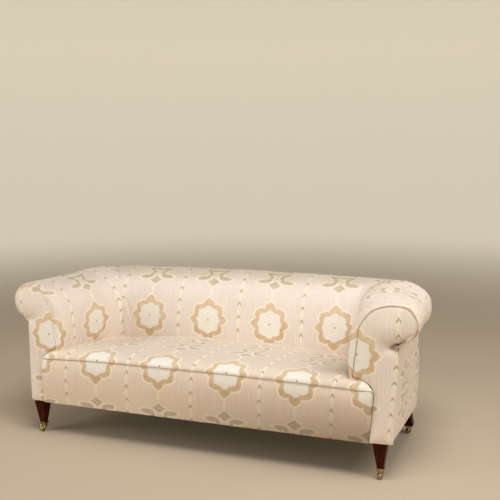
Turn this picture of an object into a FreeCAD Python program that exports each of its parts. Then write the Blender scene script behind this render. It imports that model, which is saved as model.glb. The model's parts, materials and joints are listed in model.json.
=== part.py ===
import FreeCAD, Part
import Sketcher
import math, os

# Three-seat sofa with rolled arms level with the back, a fixed sprung seat and
# four wooden legs on brass castors.  Millimetres, +Z up, +X to the sitter's
# left hand side of the drawing, -Y to the front, origin on the floor under
# the middle of the sofa.

V = FreeCAD.Vector
doc = FreeCAD.newDocument("Sofa")

# ------------------------------------------------------------ driving sizes
DIMS = [
    # outline
    ("side_x", 857), ("back_y", 312), ("corner_r", 210), ("front_y", -370),
    ("cover_base", 160), ("frame_z", 168), ("crease_z", 557),
    # roll section, measured from the outside plane
    ("roll_z", 627), ("roll_r", 98), ("roll_in", 10), ("under_r", 70),
    ("pad_r", 175), ("pad_z", 550), ("pad_low", 335), ("pad_back", 64),
    ("cover_t", 2.5), ("sheet_t", 2.2), ("slack", 0.2),
    # wooden frame
    ("rail_t", 28), ("rail_h", 122), ("post_x", 795), ("post_w", 55),
    ("post_d", 55), ("post_top", 585), ("side_rail_x", 815), ("side_rail_t", 35),
    ("rear_post_x", 775), ("rear_post_y", 112), ("back_rail_y", 272),
    ("back_rail_x", 690), ("top_rail_w", 40), ("top_rail_h", 40),
    ("back_top_y", 254), ("tack_z", 330), ("tack_h", 30), ("upright_w", 50),
    ("stretch_w", 40), ("stretch_h", 60), ("dowel_d", 10), ("dowel_l", 60),
    # seat
    ("seat_half", 669), ("seat_rear", 125), ("seat_front", -391),
    ("spring_top", 330), ("spring_n", 8), ("spring_pitch", 170),
    ("spring_row", 160), ("spring_wire", 3.6), ("spring_r", 38), ("spring_waist", 27),
    ("web_w", 50), ("web_t", 1.5), ("border_half", 772), ("border_top", 384),
    ("crown_front", 384), ("crown_mid", 424), ("crown_rear", 404),
    ("piping_r", 3.2), ("facing_t", 6), ("facing_piping_r", 2.5),
    # legs
    ("leg_x", 812), ("leg_y", -336), ("leg_top", 62), ("leg_foot", 24), ("foot_z", 37),
    ("rear_leg_x", 812), ("rear_leg_y", 238), ("rear_rake", 52), ("rear_splay", 15),
    ("rear_leg_top", 50), ("rear_leg_foot", 43), ("bolt_d", 10), ("bolt_l", 90),
    # castors
    ("cup_z", 34), ("cup_top", 46), ("cup_wall", 2), ("plate_w", 40),
    ("pin_d", 6), ("pin_run", 0.05), ("pin_head", 11), ("wheel_r", 13),
    ("wheel_w", 16), ("trail", 12), ("axle_d", 4), ("fork_w", 22.2), ("fork_gap", 17.2),
    ("fork_top", 33.7), ("screw_d", 3.5),
]
dim = doc.addObject("Spreadsheet::Sheet", "Dim")
for row, (name, value) in enumerate(DIMS, start=1):
    dim.set("A%d" % row, name)
    dim.set("B%d" % row, str(value))
    dim.setAlias("B%d" % row, name)
doc.recompute()


def d(name):
    return float(dim.get(name))


NODES = []          # every finished sub-part, in the order it is written


def keep(obj, label):
    obj.Label = label
    NODES.append(obj)
    return obj


def bind(obj, **exprs):
    for prop, expr in exprs.items():
        obj.setExpression(prop.replace("__", "."), expr)
    return obj


def box(name, lx, ly, lz, x, y, z):
    b = doc.addObject("Part::Box", name)
    return bind(b, Length=lx, Width=ly, Height=lz,
                Placement__Base__x=x, Placement__Base__y=y, Placement__Base__z=z)


def rod(name, dia, length, x, y, z, axis="Z"):
    c = doc.addObject("Part::Cylinder", name)
    if axis == "X":
        c.Placement = FreeCAD.Placement(V(0, 0, 0), FreeCAD.Rotation(V(0, 1, 0), 90))
    if axis == "Y":
        c.Placement = FreeCAD.Placement(V(0, 0, 0), FreeCAD.Rotation(V(1, 0, 0), -90))
    return bind(c, Radius="(%s) / 2" % dia, Height=length,
                Placement__Base__x=x, Placement__Base__y=y, Placement__Base__z=z)


def group(name, objs):
    g = doc.addObject("Part::Compound", name)
    g.Links = objs
    return g


def cut(name, base, tools):
    if len(tools) == 1:
        tool = tools[0]
    else:
        tool = doc.addObject("Part::MultiFuse", name + "_tools")
        tool.Shapes = tools
    c = doc.addObject("Part::Cut", name)
    c.Base = base
    c.Tool = tool
    return c


def plane(body, role):
    return [f for f in body.Origin.OriginFeatures if f.Role == role][0]


def sketch(body, name, role, offset=None):
    s = body.newObject("Sketcher::SketchObject", name)
    s.AttachmentSupport = [(plane(body, role), "")]
    s.MapMode = "FlatFace"
    if offset is not None:
        s.setExpression("AttachmentOffset.Base.z", offset)
    return s


def rect(s, w, h, cx="0", cy="0"):
    """A rectangle on sketch s, sized and placed by expressions."""
    p = [V(-5, -5, 0), V(5, -5, 0), V(5, 5, 0), V(-5, 5, 0)]
    ids = [s.addGeometry(Part.LineSegment(p[i], p[(i + 1) % 4]), False) for i in range(4)]
    for i in range(4):
        s.addConstraint(Sketcher.Constraint("Coincident", ids[i], 2, ids[(i + 1) % 4], 1))
    s.addConstraint(Sketcher.Constraint("Horizontal", ids[0]))
    s.addConstraint(Sketcher.Constraint("Horizontal", ids[2]))
    s.addConstraint(Sketcher.Constraint("Vertical", ids[1]))
    s.addConstraint(Sketcher.Constraint("Vertical", ids[3]))
    n = s.addConstraint(Sketcher.Constraint("DistanceX", ids[0], 1, ids[0], 2, 10.0))
    s.setExpression("Constraints[%d]" % n, w)
    n = s.addConstraint(Sketcher.Constraint("DistanceY", ids[1], 1, ids[1], 2, 10.0))
    s.setExpression("Constraints[%d]" % n, h)
    n = s.addConstraint(Sketcher.Constraint("DistanceX", -1, 1, ids[0], 1, -5.0))
    s.setExpression("Constraints[%d]" % n, "(%s) - (%s) / 2" % (cx, w))
    n = s.addConstraint(Sketcher.Constraint("DistanceY", -1, 1, ids[0], 1, -5.0))
    s.setExpression("Constraints[%d]" % n, "(%s) - (%s) / 2" % (cy, h))
    return ids


def circ(s, dia, cx="0", cy="0"):
    i = s.addGeometry(Part.Circle(V(0, 0, 0), V(0, 0, 1), 2.0), False)
    n = s.addConstraint(Sketcher.Constraint("Radius", i, 2.0))
    s.setExpression("Constraints[%d]" % n, "(%s) / 2" % dia)
    n = s.addConstraint(Sketcher.Constraint("DistanceX", -1, 1, i, 3, 0.0))
    s.setExpression("Constraints[%d]" % n, cx)
    n = s.addConstraint(Sketcher.Constraint("DistanceY", -1, 1, i, 3, 0.0))
    s.setExpression("Constraints[%d]" % n, cy)
    return i


def loft(body, name, lower, upper, kind="PartDesign::AdditiveLoft"):
    f = body.newObject(kind, name)
    f.Profile = lower
    f.Sections = [upper]
    f.Ruled = True
    return f


def pocket(body, name, profile, length, reverse=False):
    f = body.newObject("PartDesign::Pocket", name)
    f.Profile = profile
    f.setExpression("Length", length)
    f.Reversed = reverse
    return f


def pad(body, name, profile, length, reverse=False, mid=False):
    f = body.newObject("PartDesign::Pad", name)
    f.Profile = profile
    f.setExpression("Length", length)
    f.Reversed = reverse
    if mid:
        f.Midplane = True
    return f


SIDES = (("left", -1), ("right", 1))

# ------------------------------------------------------------- wooden frame
# dowels between the seat rails and the front posts, two at each joint
dowels = []
front_dowels = {-1: [], 1: []}
side_dowels = {-1: [], 1: []}
for side, sg in SIDES:
    for k in (0, 1):
        z = "Dim.frame_z + %d" % (36 + 50 * k)
        x0 = ("Dim.post_x - Dim.dowel_l / 2" if sg > 0 else "-Dim.post_x - Dim.dowel_l / 2")
        c = rod("dowel_front_%s_%d" % (side, k), "Dim.dowel_d", "Dim.dowel_l",
                x0, "Dim.front_y + 2 + Dim.rail_t / 2", z, "X")
        front_dowels[sg].append(c)
        xs = ("Dim.side_rail_x + Dim.side_rail_t / 2" if sg > 0
              else "-Dim.side_rail_x - Dim.side_rail_t / 2")
        c = rod("dowel_side_%s_%d" % (side, k), "Dim.dowel_d", "Dim.dowel_l", xs,
                "Dim.front_y + 2 + Dim.post_d - Dim.dowel_l / 2", z + " + 25", "Y")
        side_dowels[sg].append(c)
    dowels += front_dowels[sg] + side_dowels[sg]

# leg bolts, half in the leg and half in the frame above it
bolts = {}
for side, sg in SIDES:
    bolts["front", sg] = rod("bolt_front_" + side, "Dim.bolt_d", "Dim.bolt_l",
                             "%d * Dim.leg_x" % sg, "Dim.leg_y", "Dim.frame_z - Dim.bolt_l / 2")
    bolts["rear", sg] = rod("bolt_rear_" + side, "Dim.bolt_d", "Dim.bolt_l",
                            "%d * (Dim.rear_leg_x - Dim.rear_splay)" % sg,
                            "Dim.rear_leg_y - Dim.rear_rake", "Dim.frame_z - Dim.bolt_l / 2")

rail = box("front_rail_blank", "2 * Dim.post_x", "Dim.rail_t", "Dim.rail_h",
           "-Dim.post_x", "Dim.front_y + 2", "Dim.frame_z")
keep(cut("front_rail", rail, front_dowels[-1] + front_dowels[1]), "front_rail")
keep(box("back_rail", "2 * Dim.back_rail_x", "Dim.rail_t", "Dim.rail_h",
         "-Dim.back_rail_x", "Dim.back_rail_y", "Dim.frame_z"), "back_rail")
for side, sg in SIDES:
    x = ("Dim.side_rail_x" if sg > 0 else "-Dim.side_rail_x - Dim.side_rail_t")
    r = box("side_rail_blank_" + side, "Dim.side_rail_t",
            "Dim.rear_post_y - Dim.front_y - 2 - Dim.post_d", "Dim.rail_h",
            x, "Dim.front_y + 2 + Dim.post_d", "Dim.frame_z")
    keep(cut("side_rail_" + side, r, side_dowels[sg]), "side_rail_" + side)
keep(box("seat_stretcher", "Dim.stretch_w",
         "Dim.back_rail_y - Dim.front_y - 2 - Dim.rail_t", "Dim.stretch_h",
         "-Dim.stretch_w / 2", "Dim.front_y + 2 + Dim.rail_t", "Dim.frame_z"), "seat_stretcher")
for side, sg in SIDES:
    x = ("Dim.post_x" if sg > 0 else "-Dim.post_x - Dim.post_w")
    p = box("front_post_blank_" + side, "Dim.post_w", "Dim.post_d",
            "Dim.post_top - Dim.frame_z", x, "Dim.front_y + 2", "Dim.frame_z")
    keep(cut("front_post_" + side, p, front_dowels[sg] + side_dowels[sg] + [bolts["front", sg]]),
         "front_post_" + side)
for side, sg in SIDES:
    x = ("Dim.rear_post_x" if sg > 0 else "-Dim.rear_post_x - Dim.post_w")
    keep(box("rear_post_" + side, "Dim.post_w", "Dim.post_d", "Dim.post_top - Dim.frame_z",
             x, "Dim.rear_post_y", "Dim.frame_z"), "rear_post_" + side)
for side, sg in SIDES:
    x = ("Dim.post_x" if sg > 0 else "-Dim.post_x - Dim.top_rail_w")
    keep(box("arm_top_rail_" + side, "Dim.top_rail_w",
             "Dim.rear_post_y + Dim.post_d - Dim.front_y - 2", "Dim.top_rail_h",
             x, "Dim.front_y + 2", "Dim.post_top"), "arm_top_rail_" + side)
keep(box("back_top_rail", "2 * Dim.back_rail_x", "Dim.top_rail_w", "Dim.top_rail_h",
         "-Dim.back_rail_x", "Dim.back_top_y", "Dim.post_top"), "back_top_rail")


def plan_block(name, points, z0, hgt):
    """A block sawn to a plan outline; its height and level come from the sheet."""
    body = doc.addObject("PartDesign::Body", name)
    s = sketch(body, name + "_plan", "XY_Plane", z0)
    n = len(points)
    ids = [s.addGeometry(Part.LineSegment(V(*points[i], 0), V(*points[(i + 1) % n], 0)), False)
           for i in range(n)]
    for i in range(n):
        s.addConstraint(Sketcher.Constraint("Coincident", ids[i], 2, ids[(i + 1) % n], 1))
    for i, (px, py) in enumerate(points):
        s.addConstraint(Sketcher.Constraint("DistanceX", -1, 1, ids[i], 1, px))
        s.addConstraint(Sketcher.Constraint("DistanceY", -1, 1, ids[i], 1, py))
    pad(body, name + "_pad", s, hgt)
    return body


post_back = d("rear_post_y") + d("post_d")
low, high = [], []
for side, sg in SIDES:
    out = [(745, post_back), (830, post_back), (815, 222), (778, 258), (740, 286),
           (d("back_rail_x"), 300), (d("back_rail_x"), 250)]
    b = plan_block("rear_block_blank_" + side, [(sg * x, y) for x, y in out],
                   "Dim.frame_z", "Dim.rail_h")
    low.append(cut("rear_block_" + side, b, [bolts["rear", sg]]))
    out = [(795, post_back), (835, post_back), (818, 220), (778, 258), (742, 282),
           (d("back_rail_x"), 294), (d("back_rail_x"), 242)]
    high.append(plan_block("top_block_" + side, [(sg * x, y) for x, y in out],
                           "Dim.post_top", "Dim.top_rail_h"))
keep(group("rear_corner_blocks", low), "rear_corner_blocks")
keep(group("top_corner_blocks", high), "top_corner_blocks")

ups = [box("upright_%d" % i, "Dim.upright_w", "Dim.rail_t",
           "Dim.post_top - Dim.frame_z - Dim.rail_h", "%d - Dim.upright_w / 2" % x,
           "Dim.back_rail_y", "Dim.frame_z + Dim.rail_h") for i, x in enumerate((-660, -220, 220, 660))]
keep(group("back_uprights", ups), "back_uprights")
tacks = [box("tack_back", "1370", "Dim.back_rail_y - Dim.back_top_y", "Dim.tack_h",
             "-685", "Dim.back_top_y", "Dim.tack_z")]
for side, sg in SIDES:
    x = ("Dim.post_x" if sg > 0 else "-Dim.post_x - Dim.rail_t")
    tacks.append(box("tack_arm_" + side, "Dim.rail_t",
                     "Dim.rear_post_y - Dim.front_y - 2 - Dim.post_d", "Dim.tack_h",
                     x, "Dim.front_y + 2 + Dim.post_d", "Dim.tack_z"))
keep(group("tacking_rails", tacks), "tacking_rails")
keep(group("frame_dowels", dowels), "frame_dowels")

# ----------------------------------------------------- webbing of the inside
strips = []
for i, x in enumerate((-560, -400, -140, 0, 140, 400, 560)):
    strips.append(box("back_web_%d" % i, "Dim.web_w", "Dim.web_t",
                      "Dim.post_top + Dim.top_rail_h - Dim.tack_z", "%d - Dim.web_w / 2" % x,
                      "Dim.back_top_y - Dim.web_t", "Dim.tack_z"))
for side, sg in SIDES:
    x = ("Dim.post_x - Dim.web_t" if sg > 0 else "-Dim.post_x")
    for k, y in enumerate((-250, -120, 10)):
        strips.append(box("arm_web_%s_%d" % (side, k), "Dim.web_t", "Dim.web_w",
                          "Dim.post_top + Dim.top_rail_h - Dim.tack_z", x,
                          "%d - Dim.web_w / 2" % y, "Dim.tack_z"))
keep(group("arm_and_back_webbing", strips), "arm_and_back_webbing")

# ------------------------------------------------------------ arms and back
# One roll section serves arms and back.  It is measured from the outside
# plane: positive towards the sitter, negative out over the overhang.
def section(off, closed_inner):
    """Closed outline of the roll section, drawn in from the surface by off."""
    ri, rz, r1, r2 = d("roll_in"), d("roll_z"), d("roll_r"), d("under_r")
    pr, pz, lo = d("pad_r"), d("pad_z"), d("pad_low")
    cx = ri - r1 + r2
    q = math.sqrt(0.5)

    def pts(o):
        return [(cx, rz - r2 + o), (cx - (r2 - o) * q, rz - (r2 - o) * q), (cx - r2 + o, rz),
                (ri - (r1 - o) * q, rz + (r1 - o) * q), (ri, rz + r1 - o),
                (ri + (pr - o) * q, pz + (pr - o) * q), (ri + pr - o, pz), (ri + pr - o, lo)]
    a = pts(off)
    edges = [("arc", a[0], a[1], a[2]), ("arc", a[2], a[3], a[4]),
             ("arc", a[4], a[5], a[6]), ("line", a[6], a[7])]
    if closed_inner is None:                       # solid filling
        back = d("pad_back")
        edges += [("line", a[7], (back, lo)), ("line", (back, lo), (back, a[0][1])),
                  ("line", (back, a[0][1]), a[0])]
    else:                                          # a skin of even thickness
        b = pts(closed_inner)
        edges += [("line", a[7], b[7]), ("line", b[7], b[6]), ("arc", b[6], b[5], b[4]),
                  ("arc", b[4], b[3], b[2]), ("arc", b[2], b[1], b[0]), ("line", b[0], a[0])]
    return edges


def face(edges, place):
    out = []
    for e in edges:
        p = [place(*q) for q in e[1:]]
        out.append(Part.Arc(*p).toShape() if e[0] == "arc" else Part.LineSegment(*p).toShape())
    return Part.Face(Part.Wire(out))


def solid(*shapes):
    s = shapes[0]
    for t in shapes[1:]:
        s = s.fuse(t)
    s = s.removeSplitter()
    return s.Solids[0] if len(s.Solids) == 1 else s


ax, ay = d("side_x") - d("corner_r"), d("back_y") - d("corner_r")


def arm(edges, y0):
    """The right arm: straight from the front, then half way round the corner."""
    f0 = face(edges, lambda q, z: V(d("side_x") - q, y0, z))
    f1 = face(edges, lambda q, z: V(d("side_x") - q, ay, z))
    return solid(f0.extrude(V(0, ay - y0, 0)), f1.revolve(V(ax, ay, 0), V(0, 0, 1), 45))


def back(edges):
    """The back between its two mitred corners."""
    f0 = face(edges, lambda q, z: V(-ax, d("back_y") - q, z))
    f1 = face(edges, lambda q, z: V(ax, d("back_y") - q, z))
    return solid(f0.extrude(V(2 * ax, 0, 0)), f1.revolve(V(ax, ay, 0), V(0, 0, 1), -45),
                 f0.revolve(V(-ax, ay, 0), V(0, 0, 1), 45))


def mirrored(s):
    return s.mirror(V(0, 0, 0), V(1, 0, 0))


def feature(label, shape):
    o = doc.addObject("Part::Feature", label)
    o.Shape = shape
    o.Placement = FreeCAD.Placement()
    return keep(o, label)


doc.recompute()
frame_names = ["front_post_left", "front_post_right", "rear_post_left", "rear_post_right",
               "arm_top_rail_left", "arm_top_rail_right", "back_top_rail", "back_uprights",
               "top_corner_blocks", "tacking_rails", "arm_and_back_webbing"]
frame = [s for n in frame_names for s in doc.getObject(n).Shape.Solids]
start = d("front_y") + 0.5
skin, gap = d("cover_t"), d("slack")


def clear_of_frame(s):
    near = [f for f in frame if f.BoundBox.intersect(s.BoundBox)]
    tool = near[0].multiFuse(near[1:]).removeSplitter()
    s = s.cut(tool)
    return max(s.Solids, key=lambda k: k.Volume)


arm_fill = arm(section(skin + gap, None), start)
feature("arm_stuffing_left", clear_of_frame(mirrored(arm_fill)))
feature("arm_stuffing_right", clear_of_frame(arm_fill))
feature("back_stuffing", clear_of_frame(back(section(skin + gap, None))))
arm_skin = arm(section(0.0, skin), start)
feature("inside_arm_cover_left", mirrored(arm_skin))
feature("inside_arm_cover_right", arm_skin)
feature("inside_back_cover", back(section(0.0, skin)))

flat = [("line", (0, d("cover_base")), (d("sheet_t"), d("cover_base"))),
        ("line", (d("sheet_t"), d("cover_base")), (d("sheet_t"), d("crease_z") - 1)),
        ("line", (d("sheet_t"), d("crease_z") - 1), (0, d("crease_z") - 1)),
        ("line", (0, d("crease_z") - 1), (0, d("cover_base")))]
out_arm = arm(flat, start)
feature("outside_arm_cover_left", mirrored(out_arm))
feature("outside_arm_cover_right", out_arm)
feature("outside_back_cover", back(flat))

# ------------------------------------------- scroll facings at the arm fronts
# Outline of the facing: up the outside, round the scroll, down the inner edge
# and back in over the corner of the seat.
fy, ft = d("front_y"), d("facing_t")
lean = math.atan2(27.0, 200.0)
turn_r = 102.0 / (1.0 - math.sin(lean))
tx = 727.0 + turn_r * math.cos(lean)
ctr = (727.0 + turn_r * math.cos(lean), 620.0 - turn_r * math.sin(lean))
mid_a = (math.pi - lean + math.pi / 2) / 2
mid = (ctr[0] + turn_r * math.cos(mid_a), ctr[1] + turn_r * math.sin(mid_a))
hr = 95.0
hx, hz = d("side_x") - d("roll_in"), d("roll_z")
q = math.sqrt(0.5)
lr = d("under_r")
scroll = [("line", (700, 420), (727, 620)), ("arc", (727, 620), mid, (tx, hz + hr)),
          ("line", (tx, hz + hr), (hx, hz + hr)),
          ("arc", (hx, hz + hr), (hx + hr * q, hz + hr * q), (hx + hr, hz)),
          ("arc", (hx + hr, hz), (hx + hr - lr + lr * q, hz - lr * q), (hx + hr - lr, hz - lr))]
cr = 83.3
outline = scroll + [("line", (hx + hr - lr, hz - lr), (856, 550)), ("line", (856, 550), (854, d("cover_base"))),
                    ("line", (854, d("cover_base")), (776, d("cover_base"))),
                    ("line", (776, d("cover_base")), (776, 337)),
                    ("arc", (776, 337), (776 - cr * (1 - math.cos(0.74)), 337 + cr * math.sin(0.74)), (700, 420))]
fac = face(outline, lambda x, z: V(x, fy, z)).extrude(V(0, -ft, 0))
feature("facing_left", mirrored(fac))
feature("facing_right", fac)


def bead(edges, place, radius):
    """A round cord along an outline of tangent lines and arcs."""
    parts = []
    for e in edges:
        p = [place(*k) for k in e[1:]]
        parts.append(Part.Arc(*p).toShape() if e[0] == "arc" else Part.LineSegment(*p).toShape())
    path = Part.Wire(parts)
    first = parts[0]
    t = first.tangentAt(first.FirstParameter)
    ring = Part.Wire(Part.makeCircle(radius, first.valueAt(first.FirstParameter), t))
    return path.makePipeShell([ring], True, False)


fr = d("facing_piping_r")
cord = bead(scroll, lambda x, z: V(x, fy - ft - fr - 0.2, z), fr)
cord = cord.Solids[0] if cord.Solids else Part.Solid(cord.Shells[0])
feature("facing_piping_left", mirrored(cord))
feature("facing_piping_right", cord)

# --------------------------------------------------------------------- seat
webs = []
for i, y in enumerate((-270, -180, -90, 0, 85)):
    webs.append(box("web_long_%d" % i, "2 * Dim.side_rail_x + 40", "Dim.web_w", "Dim.web_t",
                    "-Dim.side_rail_x - 20", "%d - Dim.web_w / 2" % y, "Dim.frame_z - 2 * Dim.web_t"))
for i in range(12):
    webs.append(box("web_cross_%d" % i, "Dim.web_w",
                    "Dim.back_rail_y - Dim.front_y + 10", "Dim.web_t",
                    "%d - Dim.web_w / 2" % (-605 + 110 * i), "Dim.front_y + 8", "Dim.frame_z - Dim.web_t"))
keep(group("seat_webbing", webs), "seat_webbing")


def coil(x, y, z0, z1, r_end, r_waist, wire, turns, per):
    """A waisted coil spring bent as short straight lengths of wire."""
    pts = []
    n = turns * per
    zb, zt = z0 + wire / 2, z1 - wire / 2
    for i in range(n + 1):
        k = i / n
        r = r_waist + (r_end - r_waist) * (2 * k - 1) ** 2
        a = 2 * math.pi * i / per
        pts.append(V(x + r * math.cos(a), y + r * math.sin(a), zb + (zt - zb) * k))
    path = Part.makePolygon(pts)
    t = pts[1] - pts[0]
    ring = Part.Wire(Part.makeCircle(wire / 2 * 0.98, pts[0], t))
    s = path.makePipeShell([ring], True, False, 1)
    return s.Solids[0] if s.Solids else Part.Solid(s.Shells[0])


one = coil(0, 0, d("frame_z"), d("spring_top"), d("spring_r"), d("spring_waist"),
           d("spring_wire"), 5, 10)
coils = []
n = int(d("spring_n"))
for j in range(3):
    for i in range(n):
        c = one.copy()
        c.translate(V((i - (n - 1) / 2) * d("spring_pitch"), -110 + (j - 1) * d("spring_row"), 0))
        coils.append(c)
feature("seat_springs", Part.makeCompound(coils))

keep(box("seat_hessian", "2 * Dim.seat_half - 10", "Dim.seat_rear - Dim.front_y - 40", "2",
         "5 - Dim.seat_half", "Dim.front_y + 35", "Dim.spring_top + 0.2"), "seat_hessian")

# crowned seat pad: an arc from the front edge over the crown to the back
sf, sr, sh = d("seat_front"), d("seat_rear"), d("seat_half")
pad_z = d("spring_top") + 3


def plan(half, y0, y1, r):
    """Plan of the seat: square front corners, rounded rear corners."""
    e = [("line", (-half, y0), (half, y0)), ("line", (half, y0), (half, y1 - r)),
         ("arc", (half, y1 - r), (half - r * (1 - q), y1 - r * (1 - q)), (half - r, y1)),
         ("line", (half - r, y1), (-half + r, y1)),
         ("arc", (-half + r, y1), (-half + r * (1 - q), y1 - r * (1 - q)), (-half, y1 - r)),
         ("line", (-half, y1 - r), (-half, y0))]
    return face(e, lambda x, y: V(x, y, 0)).extrude(V(0, 0, 600))


crown = Part.Arc(V(0, sf, d("crown_front")), V(0, -150, d("crown_mid")), V(0, sr, d("crown_rear"))).toShape().Curve
cc, crr = crown.Center, crown.Radius


def on_crown(y, extra):
    return cc.z + math.sqrt((crr + extra) ** 2 - (y - cc.y) ** 2)


def under_crown(extra, spill):
    """Everything from the underside of the pad up to the crown, raised by extra."""
    y0, y1 = sf - spill, sr + spill
    e = [("line", (y0, pad_z), (y0, on_crown(y0, extra))),
         ("arc", (y0, on_crown(y0, extra)), (-150, on_crown(-150, extra)), (y1, on_crown(y1, extra))),
         ("line", (y1, on_crown(y1, extra)), (y1, pad_z)), ("line", (y1, pad_z), (y0, pad_z))]
    return face(e, lambda y, z: V(-sh - spill, y, z)).extrude(V(2 * (sh + spill), 0, 0))


lip = d("front_y") - 1
fill = under_crown(0.0, 4.0).common(plan(sh, sf, sr, 26))
bh = d("border_half") - 3
front_low = Part.makeBox(2 * bh, lip + 2 - sf, pad_z - 172, V(-bh, sf, 172))
front_high = Part.makeBox(2 * bh, fy - ft - 1.5 - sf, d("crown_front") - 2 - pad_z, V(-bh, sf, pad_z))
feature("seat_stuffing", solid(fill, front_low, front_high))
top = under_crown(gap + skin, 4.0).common(plan(sh, sf, sr, 26)).cut(under_crown(gap, 8.0))
feature("seat_cover", solid(top))
keep(box("front_border_cover", "2 * Dim.border_half", "Dim.cover_t - Dim.slack",
         "Dim.border_top - Dim.cover_base", "-Dim.border_half",
         "Dim.seat_front - Dim.cover_t", "Dim.cover_base"), "front_border_cover")
keep(rod("seat_piping", "2 * Dim.piping_r", "2 * Dim.border_half - 8", "4 - Dim.border_half",
         "Dim.seat_front - Dim.cover_t - Dim.piping_r - 0.1", "Dim.border_top - 1", "X"), "seat_piping")

dust = [(-770, -355), (770, -355), (770, -300), (845, -300), (845, 112), (735, 132),
        (735, 232), (690, 292), (-690, 292), (-735, 232), (-735, 132), (-845, 112), (-845, -300), (-770, -300)]
body = doc.addObject("PartDesign::Body", "dust_cover")
s = sketch(body, "dust_plan", "XY_Plane", "Dim.cover_base + 2")
ids = [s.addGeometry(Part.LineSegment(V(*dust[i], 0), V(*dust[(i + 1) % len(dust)], 0)), False)
       for i in range(len(dust))]
for i in range(len(dust)):
    s.addConstraint(Sketcher.Constraint("Coincident", ids[i], 2, ids[(i + 1) % len(dust)], 1))
pad(body, "dust_sheet", s, "Dim.web_t")
keep(body, "dust_cover")

# --------------------------------------------------------------------- legs
screws = []
leg_holes = {}


def leg(name, x, y, foot, top, shift_x, shift_y, bolt_x, bolt_y):
    """A square tapered leg, lofted from its foot to its head, bored at both ends."""
    b = doc.addObject("PartDesign::Body", name)
    s0 = sketch(b, name + "_foot", "XY_Plane", "Dim.foot_z")
    rect(s0, foot, foot)
    s1 = sketch(b, name + "_head", "XY_Plane", "Dim.frame_z")
    rect(s1, top, top, shift_x, shift_y)
    loft(b, name + "_taper", s0, s1)
    s2 = sketch(b, name + "_bolt_hole", "XY_Plane", "Dim.frame_z")
    circ(s2, "Dim.bolt_d", bolt_x, bolt_y)
    pocket(b, name + "_bolt_bore", s2, "Dim.bolt_l / 2")
    s3 = sketch(b, name + "_recess", "XY_Plane", "Dim.foot_z")
    circ(s3, "Dim.pin_head + 3")
    pocket(b, name + "_pin_recess", s3, "4", True)
    bind(b, Placement__Base__x=x, Placement__Base__y=y)
    return b


blanks = {}
for side, sg in SIDES:
    blanks["front", sg] = leg("front_leg_blank_" + side, "%d * Dim.leg_x" % sg, "Dim.leg_y",
                              "Dim.leg_foot", "Dim.leg_top", "0", "0", "0", "0")
for side, sg in SIDES:
    blanks["rear", sg] = leg("rear_leg_blank_" + side, "%d * Dim.rear_leg_x" % sg, "Dim.rear_leg_y",
                             "Dim.rear_leg_foot", "Dim.rear_leg_top",
                             "%d * Dim.rear_splay" % -sg, "-Dim.rear_rake",
                             "%d * Dim.rear_splay" % -sg, "-Dim.rear_rake")

# castor screws: one through each side of a cup, four up through each plate
for side, sg in SIDES:
    leg_holes["front", sg] = []
    for k, dx in enumerate((-1, 1)):
        c = rod("cup_screw_%s_%d" % (side, k), "Dim.screw_d", "7.5",
                "%d * Dim.leg_x + %s" % (sg, "-15.1" if dx < 0 else "7.6"),
                "Dim.leg_y", "Dim.cup_top - 5", "X")
        leg_holes["front", sg].append(c)
    leg_holes["rear", sg] = []
    for k, (dx, dy) in enumerate(((-14, -14), (14, -14), (14, 14), (-14, 14))):
        c = rod("plate_screw_%s_%d" % (side, k), "Dim.screw_d", "14",
                "%d * Dim.rear_leg_x + %d" % (sg, dx), "Dim.rear_leg_y + %d" % dy, "Dim.cup_z")
        leg_holes["rear", sg].append(c)
    screws += leg_holes["front", sg] + leg_holes["rear", sg]
for pos in ("front", "rear"):
    for side, sg in SIDES:
        keep(cut("%s_leg_%s" % (pos, side), blanks[pos, sg], leg_holes[pos, sg]),
             "%s_leg_%s" % (pos, side))
keep(group("leg_bolts", [bolts[k] for k in sorted(bolts)]), "leg_bolts")
keep(group("castor_screws", screws), "castor_screws")

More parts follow.
